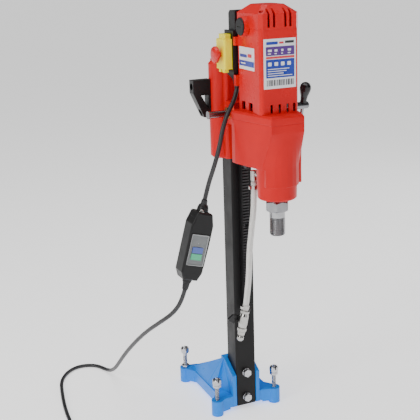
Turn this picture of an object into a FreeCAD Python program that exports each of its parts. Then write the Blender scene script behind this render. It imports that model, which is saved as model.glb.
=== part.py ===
import FreeCAD
import Part
import math
import os

# Core drill rig: a red wet-drilling motor on a carriage that a rack and pinion drives
# up and down a square column, which stands on a blue cast base with levelling screws.
# All sizes are in millimetres. X points right, Y points away from the drill towards the
# back of the base, Z points up from the floor. Positions are written from the column's
# centre line, and the whole rig is shifted at the end so that the origin lies on the
# floor under the middle of its box.

V = FreeCAD.Vector

# ---------------------------------------------------------------- driving dimensions

COLUMN_WIDTH = 50.0
COLUMN_WALL = 3.0
COLUMN_CORNER = 4.0
COLUMN_BOTTOM = 10.0
COLUMN_TOP = 866.0
COLUMN_HALF = COLUMN_WIDTH / 2

FOOT_X = 75.0                # the four corner bosses of the base
FOOT_FRONT = -22.5
FOOT_BACK = 176.5
FOOT_RADIUS = 14.0
FOOT_HEIGHT = 38.0
WEB_BOTTOM = 10.0            # the casting stands on its bosses only
WEB_HALF_WIDTH = 64.0
BRACKET_FRONT_HEIGHT = 90.0
BRACKET_HEIGHT = 119.0
BRACKET_WALL = 10.0
SOCKET_GAP = 0.2
ANCHOR_RADIUS = 9.0
ANCHOR_Y = 112.0
ANCHOR_SLOT = 62.0           # end to end

LEVEL_RADIUS = 5.0           # M10 levelling screws
LEVEL_TIP = 1.0
LEVEL_HEAD_BOTTOM = 77.0
LEVEL_HEAD_TOP = 91.5
LEVEL_HEAD_FLATS = 19.0
NUT_HEIGHT = 6.0
NUT_FLATS = 17.0

BOLT_HEIGHTS = (30.5, 94.0)  # the two bolts that hold the column in the base
BOLT_RADIUS = 5.0
BOLT_FLATS = 17.0

DIAMETRAL_PITCH = 12.0       # teeth per inch of pitch diameter
RACK_MODULE = 25.4 / DIAMETRAL_PITCH
RACK_PITCH = math.pi * RACK_MODULE
RACK_WIDTH = 15.0
RACK_FRONT = -45.0
RACK_BOTTOM = 253.0
RACK_TOP = 846.0
RACK_ADDENDUM = 0.8 * RACK_MODULE
RACK_DEPTH = 2.0 * RACK_MODULE
PINION_TEETH = 16
PINION_RADIUS = RACK_MODULE * PINION_TEETH / 2
PINION_HALF_LENGTH = 10.0
GEAR_BACKLASH = 0.25
PRESSURE_ANGLE = math.radians(20)

FEED_Y = RACK_FRONT + RACK_ADDENDUM - PINION_RADIUS
FEED_Z = 722.0
FEED_RADIUS = 7.5
FEED_LEFT = -93.0
FEED_RIGHT = 120.0
HUB_RADIUS = 8.0
HUB_RIGHT = 146.0
BAR_X = 135.0
BAR_RADIUS = 4.0
BAR_LENGTH = 172.0
BAR_TILT = 17.0              # degrees; the bar leans back at its lower end
KNOB_RADIUS = 12.5
KNOB_LENGTH = 46.0

CARRIAGE_BOTTOM = 618.0
CARRIAGE_TOP = 828.0
CARRIAGE_HALF = 42.0
LOCK_Z = 723.0               # the clamping screw, between the two rows of slide pads
LOBE_X = 40.0
LOBE_Y = -8.0
LOBE_RADIUS = 24.0
PAD_THICKNESS = 3.0
PAD_GAP = 0.15
PAD_WIDTH = 30.0
PAD_LENGTH = 60.0
NECK_HALF = 26.0
MOUNT_PLATE_BACK = -92.0

SPINDLE_Y = -193.0
SPINDLE_TIP = 482.0
THREAD_RADIUS = 15.875       # 1 1/4 inch core bit thread
THREAD_TOP = 535.0
HEX_FLATS = 45.0
HEX_TOP = 556.0
WATER_BORE = 5.0
JOURNAL_RADIUS = 15.0
UPPER_JOURNAL = 10.0
RUNNING_GAP = 0.04

NOSE_BOTTOM = 562.0
NOSE_RADIUS = 42.0
NOSE_END_RADIUS = 40.5
BOX_LEFT = 62.0
BOX_RIGHT = 50.5
BOX_FRONT = -240.0
BOX_FRONT_LEFT = 35.0
BOX_FRONT_RIGHT = 38.0
BOX_SIDE = -126.0            # where the left side starts to run in towards the front
BLEND_TOP = 704.0            # the flat front turns into a round one below here
BLEND_BOTTOM = 632.0
BLEND_RADIUS = 45.0
RIDGE = 3.0                  # how far the ridge down the front's left edge stands out
BOX_BACK = -104.0
BOX_BOTTOM_LEFT = 628.0
BOX_BOTTOM_RIGHT = 592.0
BOX_SHOULDER = -198.0
PARTING = 720.0
COVER_TOP = 738.0
WALL = 5.0

MOTOR_Y = -147.0
MOTOR_HALF = 42.5
MOTOR_FRONT = -210.0
MOTOR_BACK = -104.0
MOTOR_CORNER = 8.0
CAP_BOTTOM = 904.0
MOTOR_TOP = 950.0
SHELL = 4.0
BRUSH_Z = 907.0
BRUSH_CAP_RADIUS = 17.5
BRUSH_EAR = 53.5             # how far the brush holders' ears reach from the middle
VENT_BOTTOM = 740.0
VENT_TOP = 757.0

HIGH_MODULE = 1.25           # first gear stage
MOTOR_TEETH = 10
COUNTER_TEETH = 34
LOW_MODULE = 1.75            # second gear stage
COUNTER_PINION_TEETH = 13
SPINDLE_TEETH = 29
HIGH_CENTRES = HIGH_MODULE * (MOTOR_TEETH + COUNTER_TEETH) / 2
LOW_CENTRES = LOW_MODULE * (COUNTER_PINION_TEETH + SPINDLE_TEETH) / 2
SHAFT_SPAN = MOTOR_Y - SPINDLE_Y
COUNTER_BACK = (HIGH_CENTRES ** 2 - LOW_CENTRES ** 2 + SHAFT_SPAN ** 2) / (2 * SHAFT_SPAN)
COUNTER_X = -math.sqrt(HIGH_CENTRES ** 2 - COUNTER_BACK ** 2)
COUNTER_Y = MOTOR_Y - COUNTER_BACK

BOX_WIDTH_HALF = 45.0
SWITCH_LEFT = -69.0
SWITCH_RIGHT = -48.0
SWITCH_FRONT = -100.0
SWITCH_BACK = -58.0
SWITCH_BOTTOM = 819.0
SWITCH_TOP = 890.0
STOP_Y = -79.0
STOP_Z = 849.0
STOP_RADIUS = 17.0
START_Y = -86.0
START_Z = 860.0

CORD_RADIUS = 4.75
HOSE_RADIUS = 6.35
HOSE_Y = -147.0

# The whole rig's box in X and Y, without its cords, gives the origin.
HANDLE_LEFT = -104.0
ORIGIN_X = (HANDLE_LEFT + HUB_RIGHT + 1.5) / 2
ORIGIN_Y = (BOX_FRONT + FOOT_BACK + FOOT_RADIUS) / 2


# ---------------------------------------------------------------- small shape helpers

def box(x0, x1, y0, y1, z0, z1):
    return Part.makeBox(x1 - x0, y1 - y0, z1 - z0, V(x0, y0, z0))


def rod(radius, start, end):
    """A cylinder between two points."""
    a, b = V(*start), V(*end)
    return Part.makeCylinder(radius, (b - a).Length, a, b - a)


def cone(r0, r1, start, end):
    a, b = V(*start), V(*end)
    return Part.makeCone(r0, r1, (b - a).Length, a, b - a)


def ring(outer, inner, start, end):
    return rod(outer, start, end).cut(rod(inner, start, end))


def outline(points):
    return Part.Face(Part.makePolygon([V(*p) for p in list(points) + [points[0]]]))


def prism(points, z0, z1):
    """A plan outline in X and Y, raised from z0 to z1."""
    return outline([(x, y, z0) for x, y in points]).extrude(V(0, 0, z1 - z0))


def side_prism(points, x0, x1):
    """An outline in Y and Z, carried from x0 to x1."""
    return outline([(x0, y, z) for y, z in points]).extrude(V(x1 - x0, 0, 0))


def front_prism(points, y0, y1):
    """An outline in X and Z, carried from y0 to y1."""
    return outline([(x, y0, z) for x, z in points]).extrude(V(0, y1 - y0, 0))


def loft(first, second):
    """A straight-sided solid between two outlines with as many corners."""
    wires = [Part.makePolygon([V(*p) for p in list(w) + [w[0]]]) for w in (first, second)]
    return Part.makeLoft(wires, True, True)


def upright_edges(shape):
    found = []
    for edge in shape.Edges:
        a, b = edge.firstVertex().Point, edge.lastVertex().Point
        if abs(a.x - b.x) < 0.01 and abs(a.y - b.y) < 0.01 and abs(a.z - b.z) > 1:
            found.append(edge)
    return found


def round_box(x0, x1, y0, y1, z0, z1, radius):
    """A box whose four upright edges are rounded."""
    solid = box(x0, x1, y0, y1, z0, z1)
    return solid.makeFillet(radius, upright_edges(solid))


def fuse(*shapes):
    result = shapes[0]
    for shape in shapes[1:]:
        result = result.fuse(shape)
    return result.removeSplitter()


def cut(shape, *tools):
    for tool in tools:
        shape = shape.cut(tool)
    return shape


def group(*shapes):
    return Part.makeCompound(list(shapes))


def mirrored(shape):
    return shape.mirror(V(0, 0, 0), V(1, 0, 0))


def hexagon(flats, start, end):
    """A hexagonal bar between two points."""
    a, b = V(*start), V(*end)
    points = []
    for k in range(6):
        angle = math.radians(60 * k + 30)
        corner = flats / math.sqrt(3)
        points.append(V(corner * math.cos(angle), corner * math.sin(angle), 0))
    face = Part.Face(Part.makePolygon(points + [points[0]]))
    solid = face.extrude(V(0, 0, (b - a).Length))
    solid.Placement = FreeCAD.Placement(a, FreeCAD.Rotation(V(0, 0, 1), b - a))
    return solid


def lathe(profile, base, direction):
    """A turned solid: the profile is a list of (radius, height) along direction from base."""
    points = [V(r, 0, h) for r, h in profile]
    solid = Part.Face(Part.makePolygon(points + [points[0]])).revolve(V(0, 0, 0), V(0, 0, 1), 360)
    solid.Placement = FreeCAD.Placement(V(*base), FreeCAD.Rotation(V(0, 0, 1), V(*direction)))
    return solid


def involute(angle):
    return math.tan(angle) - angle


def gear_outline(teeth, module, tip, root, phase):
    """The toothed outline of a spur gear round the origin, with one tooth centred at phase."""
    pitch_radius = module * teeth / 2
    base_radius = pitch_radius * math.cos(PRESSURE_ANGLE)
    half_at_pitch = math.pi / (2 * teeth) - GEAR_BACKLASH / 4 / pitch_radius

    def half_angle(radius):
        if radius <= base_radius:
            return half_at_pitch + involute(PRESSURE_ANGLE)
        pressure = math.acos(base_radius / radius)
        return half_at_pitch + involute(PRESSURE_ANGLE) - involute(pressure)

    low = pitch_radius - root
    high = pitch_radius + tip
    start = max(base_radius, low)
    radii = [start + (high - start) * k / 4 for k in range(5)]
    if low < base_radius:
        radii.insert(0, low)
    points = []
    for k in range(teeth):
        centre = phase + 2 * math.pi * k / teeth
        for r in radii:
            points.append((r * math.cos(centre - half_angle(r)), r * math.sin(centre - half_angle(r))))
        for r in reversed(radii):
            points.append((r * math.cos(centre + half_angle(r)), r * math.sin(centre + half_angle(r))))
    return points


def spur_gear(teeth, module, tip, root, phase, centre, z0, z1):
    points = gear_outline(teeth, module, tip, root, phase)
    return prism([(centre[0] + x, centre[1] + y) for x, y in points], z0, z1)


def cord_tube(name, points, radius, least_turns):
    """A round tube along straight runs joined by tangent arcs, as large as the runs allow."""
    route = [V(*p) for p in points]
    edges = []
    radii = []
    at = route[0]
    for before, corner, after in zip(route, route[1:], route[2:]):
        inward, outward = corner - before, after - corner
        turn = inward.getAngle(outward)
        reach = 0.45 * min(inward.Length, outward.Length)
        radii.append(reach / math.tan(turn / 2))
        inward.normalize()
        outward.normalize()
        first = corner - inward * reach
        last = corner + outward * reach
        bisector = outward - inward
        bisector.normalize()
        centre = corner + bisector * (radii[-1] / math.cos(turn / 2))
        middle = centre - bisector * radii[-1]
        edges.append(Part.LineSegment(at, first).toShape())
        edges.append(Part.Arc(first, middle, last).toShape())
        at = last
    edges.append(Part.LineSegment(at, route[-1]).toShape())
    wire = Part.Wire(edges)
    start = route[1] - route[0]
    profile = Part.Wire(Part.makeCircle(radius, route[0], start))
    solid = wire.makePipeShell([profile], True, False)
    expected = math.pi * radius ** 2 * wire.Length
    print(
        f"{name}: length {wire.Length:.0f} mm, volume {solid.Volume / expected:.4f} of section times"
        f" length, radii {', '.join(f'{r:.0f}' for r in radii)}; least wanted {least_turns * 2 * radius:.0f}"
    )
    return solid


def save(name, shape):
    """Shift a finished sub-part to the rig's origin and write it."""
    shape = shape.copy()
    shape.translate(V(-ORIGIN_X, -ORIGIN_Y, 0))
    if not shape.isValid() or shape.Volume <= 0 or not shape.Solids:
        print("BAD", name, shape.isValid(), shape.Volume, len(shape.Solids))
    shape.exportStep(f"parts/{name}.step")


# ---------------------------------------------------------------- the stand

def base_casting():
    """The blue cast base: four corner bosses, a thick plate and a socket for the column."""
    web = prism(
        [
            (-WEB_HALF_WIDTH, FOOT_FRONT - 2),
            (WEB_HALF_WIDTH, FOOT_FRONT - 2),
            (WEB_HALF_WIDTH, FOOT_BACK),
            (-WEB_HALF_WIDTH, FOOT_BACK),
        ],
        WEB_BOTTOM,
        FOOT_HEIGHT,
    )
    body = fuse(web, *[arm for side in (-1, 1) for arm in corner_arms(side)])
    socket_half = COLUMN_HALF + SOCKET_GAP
    outer = socket_half + BRACKET_WALL
    back = socket_half + BRACKET_WALL + 4
    cheek = side_prism(
        [
            (-COLUMN_HALF, WEB_BOTTOM),
            (-COLUMN_HALF, BRACKET_FRONT_HEIGHT),
            (-COLUMN_HALF + 7, BRACKET_FRONT_HEIGHT + 4),
            (socket_half, BRACKET_HEIGHT),
            (back, BRACKET_HEIGHT),
            (back, WEB_BOTTOM),
        ],
        -outer,
        outer,
    )
    body = fuse(body, cheek)
    ridge_top = BRACKET_HEIGHT - 1
    for side in (-1, 1):
        rib = loft(
            [
                (side * (WEB_HALF_WIDTH - 1), socket_half + 1, FOOT_HEIGHT - 4),
                (side * 16, socket_half + 1, FOOT_HEIGHT - 4),
                (side * (outer - 14), socket_half + 1, ridge_top),
                (side * outer, socket_half + 1, ridge_top),
            ],
            [
                (side * (WEB_HALF_WIDTH - 1), FOOT_BACK - 8, FOOT_HEIGHT - 4),
                (side * 44, FOOT_BACK - 8, FOOT_HEIGHT - 4),
                (side * 50, FOOT_BACK - 8, FOOT_HEIGHT + 1),
                (side * (WEB_HALF_WIDTH - 3), FOOT_BACK - 8, FOOT_HEIGHT + 1),
            ],
        )
        gusset = loft(
            [
                (side * (outer - 1), -COLUMN_HALF + 12, FOOT_HEIGHT - 4),
                (side * (outer - 1), 122, FOOT_HEIGHT - 4),
                (side * (WEB_HALF_WIDTH + 0.5), 70, FOOT_HEIGHT - 4),
            ],
            [
                (side * (outer - 4), socket_half - 2, ridge_top),
                (side * (outer - 4), socket_half + 6, ridge_top),
                (side * (outer + 0.5), socket_half + 3, ridge_top),
            ],
        )
        body = fuse(body, rib, gusset)
    body = cut(body, box(-socket_half, socket_half, -COLUMN_HALF - 9, socket_half, -1, COLUMN_TOP))
    for x in (-FOOT_X, FOOT_X):
        for y in (FOOT_FRONT, FOOT_BACK):
            body = cut(body, rod(LEVEL_RADIUS + 0.05, (x, y, -1), (x, y, FOOT_HEIGHT + 1)))
    slot_half = ANCHOR_SLOT / 2 - ANCHOR_RADIUS
    slot = fuse(
        rod(ANCHOR_RADIUS, (0, ANCHOR_Y - slot_half, 0), (0, ANCHOR_Y - slot_half, BRACKET_HEIGHT)),
        rod(ANCHOR_RADIUS, (0, ANCHOR_Y + slot_half, 0), (0, ANCHOR_Y + slot_half, BRACKET_HEIGHT)),
        box(-ANCHOR_RADIUS, ANCHOR_RADIUS, ANCHOR_Y - slot_half, ANCHOR_Y + slot_half, 0, BRACKET_HEIGHT),
    )
    body = cut(body, slot)
    for z in BOLT_HEIGHTS:
        body = cut(body, rod(BOLT_RADIUS + 0.02, (0, socket_half - 1, z), (0, socket_half + 14, z)))
    return body


def corner_arms(side):
    """The boss and its short arm at each corner on one side of the base."""
    arms = []
    for y in (FOOT_FRONT, FOOT_BACK):
        arms.append(rod(FOOT_RADIUS, (side * FOOT_X, y, 0), (side * FOOT_X, y, FOOT_HEIGHT)))
        inward = 1 if y == FOOT_FRONT else -1
        arms.append(
            loft(
                [
                    (side * FOOT_X, y - inward * (FOOT_RADIUS - 5), WEB_BOTTOM - 4),
                    (side * (FOOT_X + 9), y + inward * 6, WEB_BOTTOM - 4),
                    (side * (WEB_HALF_WIDTH - 6), y + inward * 42, WEB_BOTTOM - 4),
                    (side * (WEB_HALF_WIDTH - 22), y - inward * 2, WEB_BOTTOM - 4),
                ],
                [
                    (side * FOOT_X, y - inward * (FOOT_RADIUS - 5), FOOT_HEIGHT),
                    (side * (FOOT_X + 9), y + inward * 6, FOOT_HEIGHT),
                    (side * (WEB_HALF_WIDTH - 6), y + inward * 42, FOOT_HEIGHT),
                    (side * (WEB_HALF_WIDTH - 22), y - inward * 2, FOOT_HEIGHT),
                ],
            )
        )
    return arms


def column_tube():
    outer = round_box(
        -COLUMN_HALF, COLUMN_HALF, -COLUMN_HALF, COLUMN_HALF, COLUMN_BOTTOM, COLUMN_TOP, COLUMN_CORNER
    )
    inner_half = COLUMN_HALF - COLUMN_WALL
    inner = box(-inner_half, inner_half, -inner_half, inner_half, COLUMN_BOTTOM - 1, COLUMN_TOP + 1)
    tube = outer.cut(inner)
    for z in BOLT_HEIGHTS:
        tube = cut(tube, rod(BOLT_RADIUS + 0.3, (0, -COLUMN_HALF - 1, z), (0, COLUMN_HALF + 1, z)))
    for z in rack_screw_heights():
        tube = cut(tube, rod(3.02, (0, -COLUMN_HALF - 1, z), (0, 0, z)))
    return tube


def column_cap():
    inner_half = COLUMN_HALF - COLUMN_WALL - 0.1
    lid = round_box(
        -COLUMN_HALF, COLUMN_HALF, -COLUMN_HALF, COLUMN_HALF, COLUMN_TOP, COLUMN_TOP + 4, COLUMN_CORNER
    )
    skirt = box(-inner_half, inner_half, -inner_half, inner_half, COLUMN_TOP - 14, COLUMN_TOP)
    hollow = box(
        -inner_half + 2.5, inner_half - 2.5, -inner_half + 2.5, inner_half - 2.5,
        COLUMN_TOP - 15, COLUMN_TOP - 1,
    )
    return fuse(lid, skirt).cut(hollow)


def rack_screw_heights():
    """The screws sit in tooth gaps, so that they never meet the pinion."""
    gaps = [round((z - FEED_Z) / RACK_PITCH) for z in (275, 460, 645, 825)]
    return [FEED_Z + gap * RACK_PITCH for gap in gaps]


def rack():
    """The toothed bar on the column's front, with a tooth gap at the feed shaft's height."""
    root = RACK_FRONT + RACK_DEPTH
    pitch_line = RACK_FRONT + RACK_ADDENDUM
    points = [(-COLUMN_HALF, RACK_BOTTOM), (root, RACK_BOTTOM)]
    first = math.ceil((RACK_BOTTOM + RACK_PITCH / 2 - FEED_Z) / RACK_PITCH - 0.5)
    last = math.floor((RACK_TOP - RACK_PITCH / 2 - FEED_Z) / RACK_PITCH - 0.5)
    half = RACK_PITCH / 4 - GEAR_BACKLASH / 4
    slope = math.tan(PRESSURE_ANGLE)
    tip_half = half - slope * (pitch_line - RACK_FRONT)
    root_half = half + slope * (root - pitch_line)
    for k in range(first, last + 1):
        z = FEED_Z + (k + 0.5) * RACK_PITCH
        points += [(root, z - root_half), (RACK_FRONT, z - tip_half)]
        points += [(RACK_FRONT, z + tip_half), (root, z + root_half)]
    points += [(root, RACK_TOP), (-COLUMN_HALF, RACK_TOP)]
    bar = side_prism(points, -RACK_WIDTH / 2, RACK_WIDTH / 2)
    for z in rack_screw_heights():
        bar = cut(
            bar,
            rod(5.2, (0, RACK_FRONT - 1, z), (0, -33, z)),
            rod(3.3, (0, -34, z), (0, -COLUMN_HALF + 1, z)),
        )
    return bar


def rack_screws():
    screws = []
    for z in rack_screw_heights():
        screws.append(
            fuse(rod(5.0, (0, -38.8, z), (0, -33, z)), rod(3.0, (0, -33, z), (0, -COLUMN_HALF + 6, z)))
            .cut(hexagon(5.0, (0, -39, z), (0, -36.4, z)))
        )
    return group(*screws)


def column_bolts():
    """Two hex bolts with washers clamp the column back into its socket."""
    pieces = []
    for z in BOLT_HEIGHTS:
        face = -COLUMN_HALF
        pieces.append(ring(10.0, BOLT_RADIUS + 0.3, (0, face - 2.5, z), (0, face, z)))
        pieces.append(
            fuse(
                hexagon(BOLT_FLATS, (0, face - 10.5, z), (0, face - 2.5, z)),
                rod(BOLT_RADIUS, (0, face - 2.6, z), (0, COLUMN_HALF + SOCKET_GAP + 10, z)),
            )
        )
    return group(*pieces)


def levelling_screw(x, y, jam_nut):
    """A zinc levelling screw with a notched head; the front ones carry a jam nut below it."""
    head = hexagon(LEVEL_HEAD_FLATS, (x, y, LEVEL_HEAD_BOTTOM), (x, y, LEVEL_HEAD_TOP))
    head = head.common(
        lathe(
            [(0, 0), (9, 0), (10.4, 2.5), (10.4, 12), (8.6, 14.5), (0, 14.5)],
            (x, y, LEVEL_HEAD_BOTTOM),
            (0, 0, 1),
        )
    )
    head = cut(
        head,
        box(x - 12, x + 12, y - 1.6, y + 1.6, LEVEL_HEAD_TOP - 6, LEVEL_HEAD_TOP + 1),
        box(x - 1.6, x + 1.6, y - 12, y + 12, LEVEL_HEAD_TOP - 6, LEVEL_HEAD_TOP + 1),
        rod(4.2, (x, y, LEVEL_HEAD_TOP - 5), (x, y, LEVEL_HEAD_TOP + 1)),
    )
    shank = fuse(
        rod(LEVEL_RADIUS, (x, y, LEVEL_TIP + 1.5), (x, y, LEVEL_HEAD_BOTTOM + 1)),
        cone(LEVEL_RADIUS - 1.5, LEVEL_RADIUS, (x, y, LEVEL_TIP), (x, y, LEVEL_TIP + 1.5)),
    )
    screw = fuse(head, shank)
    if not jam_nut:
        return screw
    low = LEVEL_HEAD_BOTTOM - NUT_HEIGHT - 0.3
    return group(screw, lock_nut(x, y, low))


def lock_nut(x, y, low):
    nut = hexagon(NUT_FLATS, (x, y, low), (x, y, low + NUT_HEIGHT))
    return nut.cut(rod(LEVEL_RADIUS + 0.05, (x, y, low - 1), (x, y, low + NUT_HEIGHT + 1)))


# ---------------------------------------------------------------- the carriage and feed

def carriage_casting():
    """The red carriage: a sleeve round the column, a feed shaft housing and a motor plate."""
    sleeve = round_box(
        -CARRIAGE_HALF, CARRIAGE_HALF, -CARRIAGE_HALF, CARRIAGE_HALF, CARRIAGE_BOTTOM, CARRIAGE_TOP, 8
    )
    lobes = []
    for side in (-1, 1):
        lobe = rod(
            LOBE_RADIUS, (side * LOBE_X, LOBE_Y, CARRIAGE_BOTTOM), (side * LOBE_X, LOBE_Y, CARRIAGE_TOP)
        )
        lobes.append(lobe.makeChamfer(5, [e for e in lobe.Edges if e.BoundBox.ZLength < 1]))
    neck = box(-NECK_HALF, NECK_HALF, MOUNT_PLATE_BACK + 1, -CARRIAGE_HALF + 2, 612, 700)
    plate = box(-48, 48, BOX_BACK + 0.5, MOUNT_PLATE_BACK, 634, 716)
    housing = fuse(
        box(-CARRIAGE_HALF, CARRIAGE_HALF, FEED_Y - 24, -CARRIAGE_HALF + 2, FEED_Z - 24, FEED_Z + 24),
        box(-NECK_HALF, NECK_HALF, MOUNT_PLATE_BACK + 1, FEED_Y, FEED_Z - 26, FEED_Z - 6),
    )
    body = fuse(sleeve, *lobes, neck, plate, housing)
    room = COLUMN_HALF + PAD_THICKNESS + PAD_GAP
    rack_half = RACK_WIDTH / 2 + 3
    body = cut(
        body,
        box(-room, room, -room, room, 0, COLUMN_TOP),
        box(-rack_half, rack_half, RACK_FRONT - 3, 0, 0, COLUMN_TOP),
        rod(
            PINION_RADIUS + RACK_MODULE + 1.5,
            (-PINION_HALF_LENGTH - 1, FEED_Y, FEED_Z),
            (PINION_HALF_LENGTH + 1, FEED_Y, FEED_Z),
        ),
        rod(FEED_RADIUS + 3.0, (-80, FEED_Y, FEED_Z), (80, FEED_Y, FEED_Z)),
    )
    for x, z in mount_bolt_places():
        body = cut(body, rod(4.3, (x, BOX_BACK - 1, z), (x, MOUNT_PLATE_BACK + 1, z)))
    for y, z in handle_bolt_places():
        body = cut(body, rod(4.02, (-LOBE_X - LOBE_RADIUS - 1, y, z), (-LOBE_X - 4, y, z)))
    return cut(body, rod(5.05, (0, 0, LOCK_Z), (0, CARRIAGE_HALF + 1, LOCK_Z)))


def mount_bolt_places():
    return [(x, z) for x in (-38, 38) for z in (646, 704)]


def handle_bolt_places():
    return [(-2.0, 719.0), (-2.0, 776.0)]


def slide_pads():
    """Plastic strips that guide the carriage on the column, at its top and bottom."""
    pads = []
    near, far = COLUMN_HALF + PAD_GAP, COLUMN_HALF + PAD_GAP + PAD_THICKNESS
    for z in (CARRIAGE_BOTTOM + 8, CARRIAGE_TOP - 8 - PAD_LENGTH):
        half = PAD_WIDTH / 2
        for side in (-1, 1):
            x0, x1 = sorted((side * near, side * far))
            pads.append(box(x0, x1, -half, half, z, z + PAD_LENGTH))
        pads.append(box(-half, half, near, far, z, z + PAD_LENGTH))
        pads.append(box(-24, -12, -far, -near, z, z + PAD_LENGTH))
        pads.append(box(12, 24, -far, -near, z, z + PAD_LENGTH))
    return group(*pads)


def feed_shaft():
    """The cross shaft with its rack pinion cut from the solid and a retaining disc at its left."""
    teeth = gear_outline(PINION_TEETH, RACK_MODULE, RACK_MODULE, 1.15 * RACK_MODULE, 0)
    pinion = side_prism(
        [(FEED_Y + u, FEED_Z + v) for u, v in teeth], -PINION_HALF_LENGTH, PINION_HALF_LENGTH
    )
    return fuse(
        pinion,
        rod(FEED_RADIUS, (FEED_LEFT + 3, FEED_Y, FEED_Z), (FEED_RIGHT, FEED_Y, FEED_Z)),
        rod(FEED_RADIUS + 1.2, (FEED_LEFT, FEED_Y, FEED_Z), (FEED_LEFT + 4, FEED_Y, FEED_Z)),
    )


def feed_bushes():
    """Two flanged bushes carry the cross shaft in the carriage."""
    bushes = []
    for side in (-1, 1):
        sleeve = rod(FEED_RADIUS + 3.0, (side * 14, FEED_Y, FEED_Z), (side * CARRIAGE_HALF, FEED_Y, FEED_Z))
        flange = rod(
            FEED_RADIUS + 5.5, (side * CARRIAGE_HALF, FEED_Y, FEED_Z), (side * 49, FEED_Y, FEED_Z)
        )
        hole = rod(FEED_RADIUS + RUNNING_GAP, (side * 10, FEED_Y, FEED_Z), (side * 60, FEED_Y, FEED_Z))
        bushes.append(fuse(sleeve, flange).cut(hole))
    return group(*bushes)


def bar_direction():
    tilt = math.radians(BAR_TILT)
    return V(0, -math.sin(tilt), math.cos(tilt))


def bar_point(height):
    """A point on the tommy bar's axis, height millimetres above the cross shaft's axis."""
    return V(BAR_X, FEED_Y, FEED_Z) + bar_direction() * height


def feed_hub():
    hub = fuse(
        rod(HUB_RADIUS, (FEED_RIGHT - 8, FEED_Y, FEED_Z), (HUB_RIGHT, FEED_Y, FEED_Z)),
        rod(HUB_RADIUS - 1.5, (HUB_RIGHT, FEED_Y, FEED_Z), (HUB_RIGHT + 1.5, FEED_Y, FEED_Z)),
    )
    return cut(
        hub,
        rod(FEED_RADIUS, (FEED_RIGHT - 9, FEED_Y, FEED_Z), (FEED_RIGHT, FEED_Y, FEED_Z)),
        Part.makeCylinder(BAR_RADIUS + 0.06, 60, bar_point(-30), bar_direction()),
    )


def tommy_bar():
    return Part.makeCylinder(BAR_RADIUS, BAR_LENGTH, bar_point(BAR_TOP_END - BAR_LENGTH), bar_direction())


BAR_TOP_END = HUB_RADIUS + 14.0


def feed_knobs():
    """A pear-shaped knob at each end of the tommy bar."""
    profile = [
        (0, 0), (7.5, 0), (7.0, 4), (8.2, 14), (10.6, 22), (12.3, 29),
        (KNOB_RADIUS, 33), (11.6, 38.5), (9.0, 42.8), (5.0, 45.2), (0, KNOB_LENGTH),
    ]
    knobs = []
    for end, way in ((HUB_RADIUS + 0.4, 1), (2 * BAR_TOP_END - BAR_LENGTH - HUB_RADIUS - 0.4, -1)):
        base = bar_point(end)
        along = bar_direction() * way
        knob = lathe(profile, (base.x, base.y, base.z), (along.x, along.y, along.z))
        bore = Part.makeCylinder(BAR_RADIUS, BAR_TOP_END - HUB_RADIUS - 0.4, base, along)
        knobs.append(knob.cut(bore))
    return group(*knobs)


def lock_knob():
    """A star knob on a screw at the carriage's back, which clamps it on the column."""
    z = LOCK_Z
    screw = rod(5.0, (0, COLUMN_HALF + 0.3, z), (0, CARRIAGE_HALF + 8, z))
    grip = rod(17, (0, CARRIAGE_HALF + 6, z), (0, CARRIAGE_HALF + 22, z))
    for k in range(5):
        angle = 2 * math.pi * k / 5
        x, up = 19 * math.cos(angle), 19 * math.sin(angle)
        grip = grip.cut(rod(5, (x, CARRIAGE_HALF + 5, z + up), (x, CARRIAGE_HALF + 23, z + up)))
    return fuse(screw, grip)


def carry_handle():
    """The black carrying loop on the carriage's left side."""
    lobe_side = -LOBE_X - LOBE_RADIUS
    outer = [(lobe_side, 790), (HANDLE_LEFT, 790), (HANDLE_LEFT, 762), (-80, 709), (lobe_side, 709)]
    inner = [(lobe_side - 5, 757), (-86, 757), (-70.5, 729), (lobe_side - 5, 729)]
    loop = front_prism([(x + 1.5 if x == lobe_side else x, z) for x, z in outer], -13, 9)
    loop = loop.cut(front_prism(inner, -14, 10))
    loop = loop.cut(
        rod(LOBE_RADIUS + 0.1, (-LOBE_X, LOBE_Y, CARRIAGE_BOTTOM), (-LOBE_X, LOBE_Y, CARRIAGE_TOP))
    )
    for y, z in handle_bolt_places():
        loop = cut(loop, rod(4.3, (HANDLE_LEFT - 1, y, z), (lobe_side + 2, y, z)))
        loop = cut(loop, rod(7.3, (HANDLE_LEFT - 1, y, z), (lobe_side - 8, y, z)))
    return loop


def mount_bolts():
    """Socket screws of one size: four hold the gearbox on the carriage, two the handle."""
    screws = []
    for x, z in mount_bolt_places():
        screws.append(socket_screw((x, MOUNT_PLATE_BACK, z), (0, -1, 0), 22))
    lobe_side = -LOBE_X - LOBE_RADIUS
    for y, z in handle_bolt_places():
        screws.append(socket_screw((lobe_side - 8, y, z), (1, 0, 0), 24))
    return group(*screws)


def socket_screw(seat, way, length, radius=4.0):
    """A socket head screw whose head rests on seat and whose shank points along way."""
    seat, way = V(*seat), V(*way)
    head = Part.makeCylinder(radius * 1.6, radius * 1.9, seat - way * (radius * 1.9), way)
    shank = Part.makeCylinder(radius, length, seat, way)
    top = seat - way * (radius * 1.9)
    bottom = top + way * (radius * 1.1)
    socket = hexagon(radius * 1.5, (top.x, top.y, top.z), (bottom.x, bottom.y, bottom.z))
    return fuse(head, shank).cut(socket)


# ---------------------------------------------------------------- gearbox and spindle

def box_plan(inset, steps=1):
    """The gearbox's plan with its flat front, as an outline moved inwards by inset."""
    front = BOX_FRONT + inset
    left, right = BOX_FRONT_LEFT - inset * 0.8, BOX_FRONT_RIGHT - inset * 0.8
    line = [(-left + (left + right) * k / steps, front) for k in range(steps + 1)]
    return line + box_sides(inset)


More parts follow.
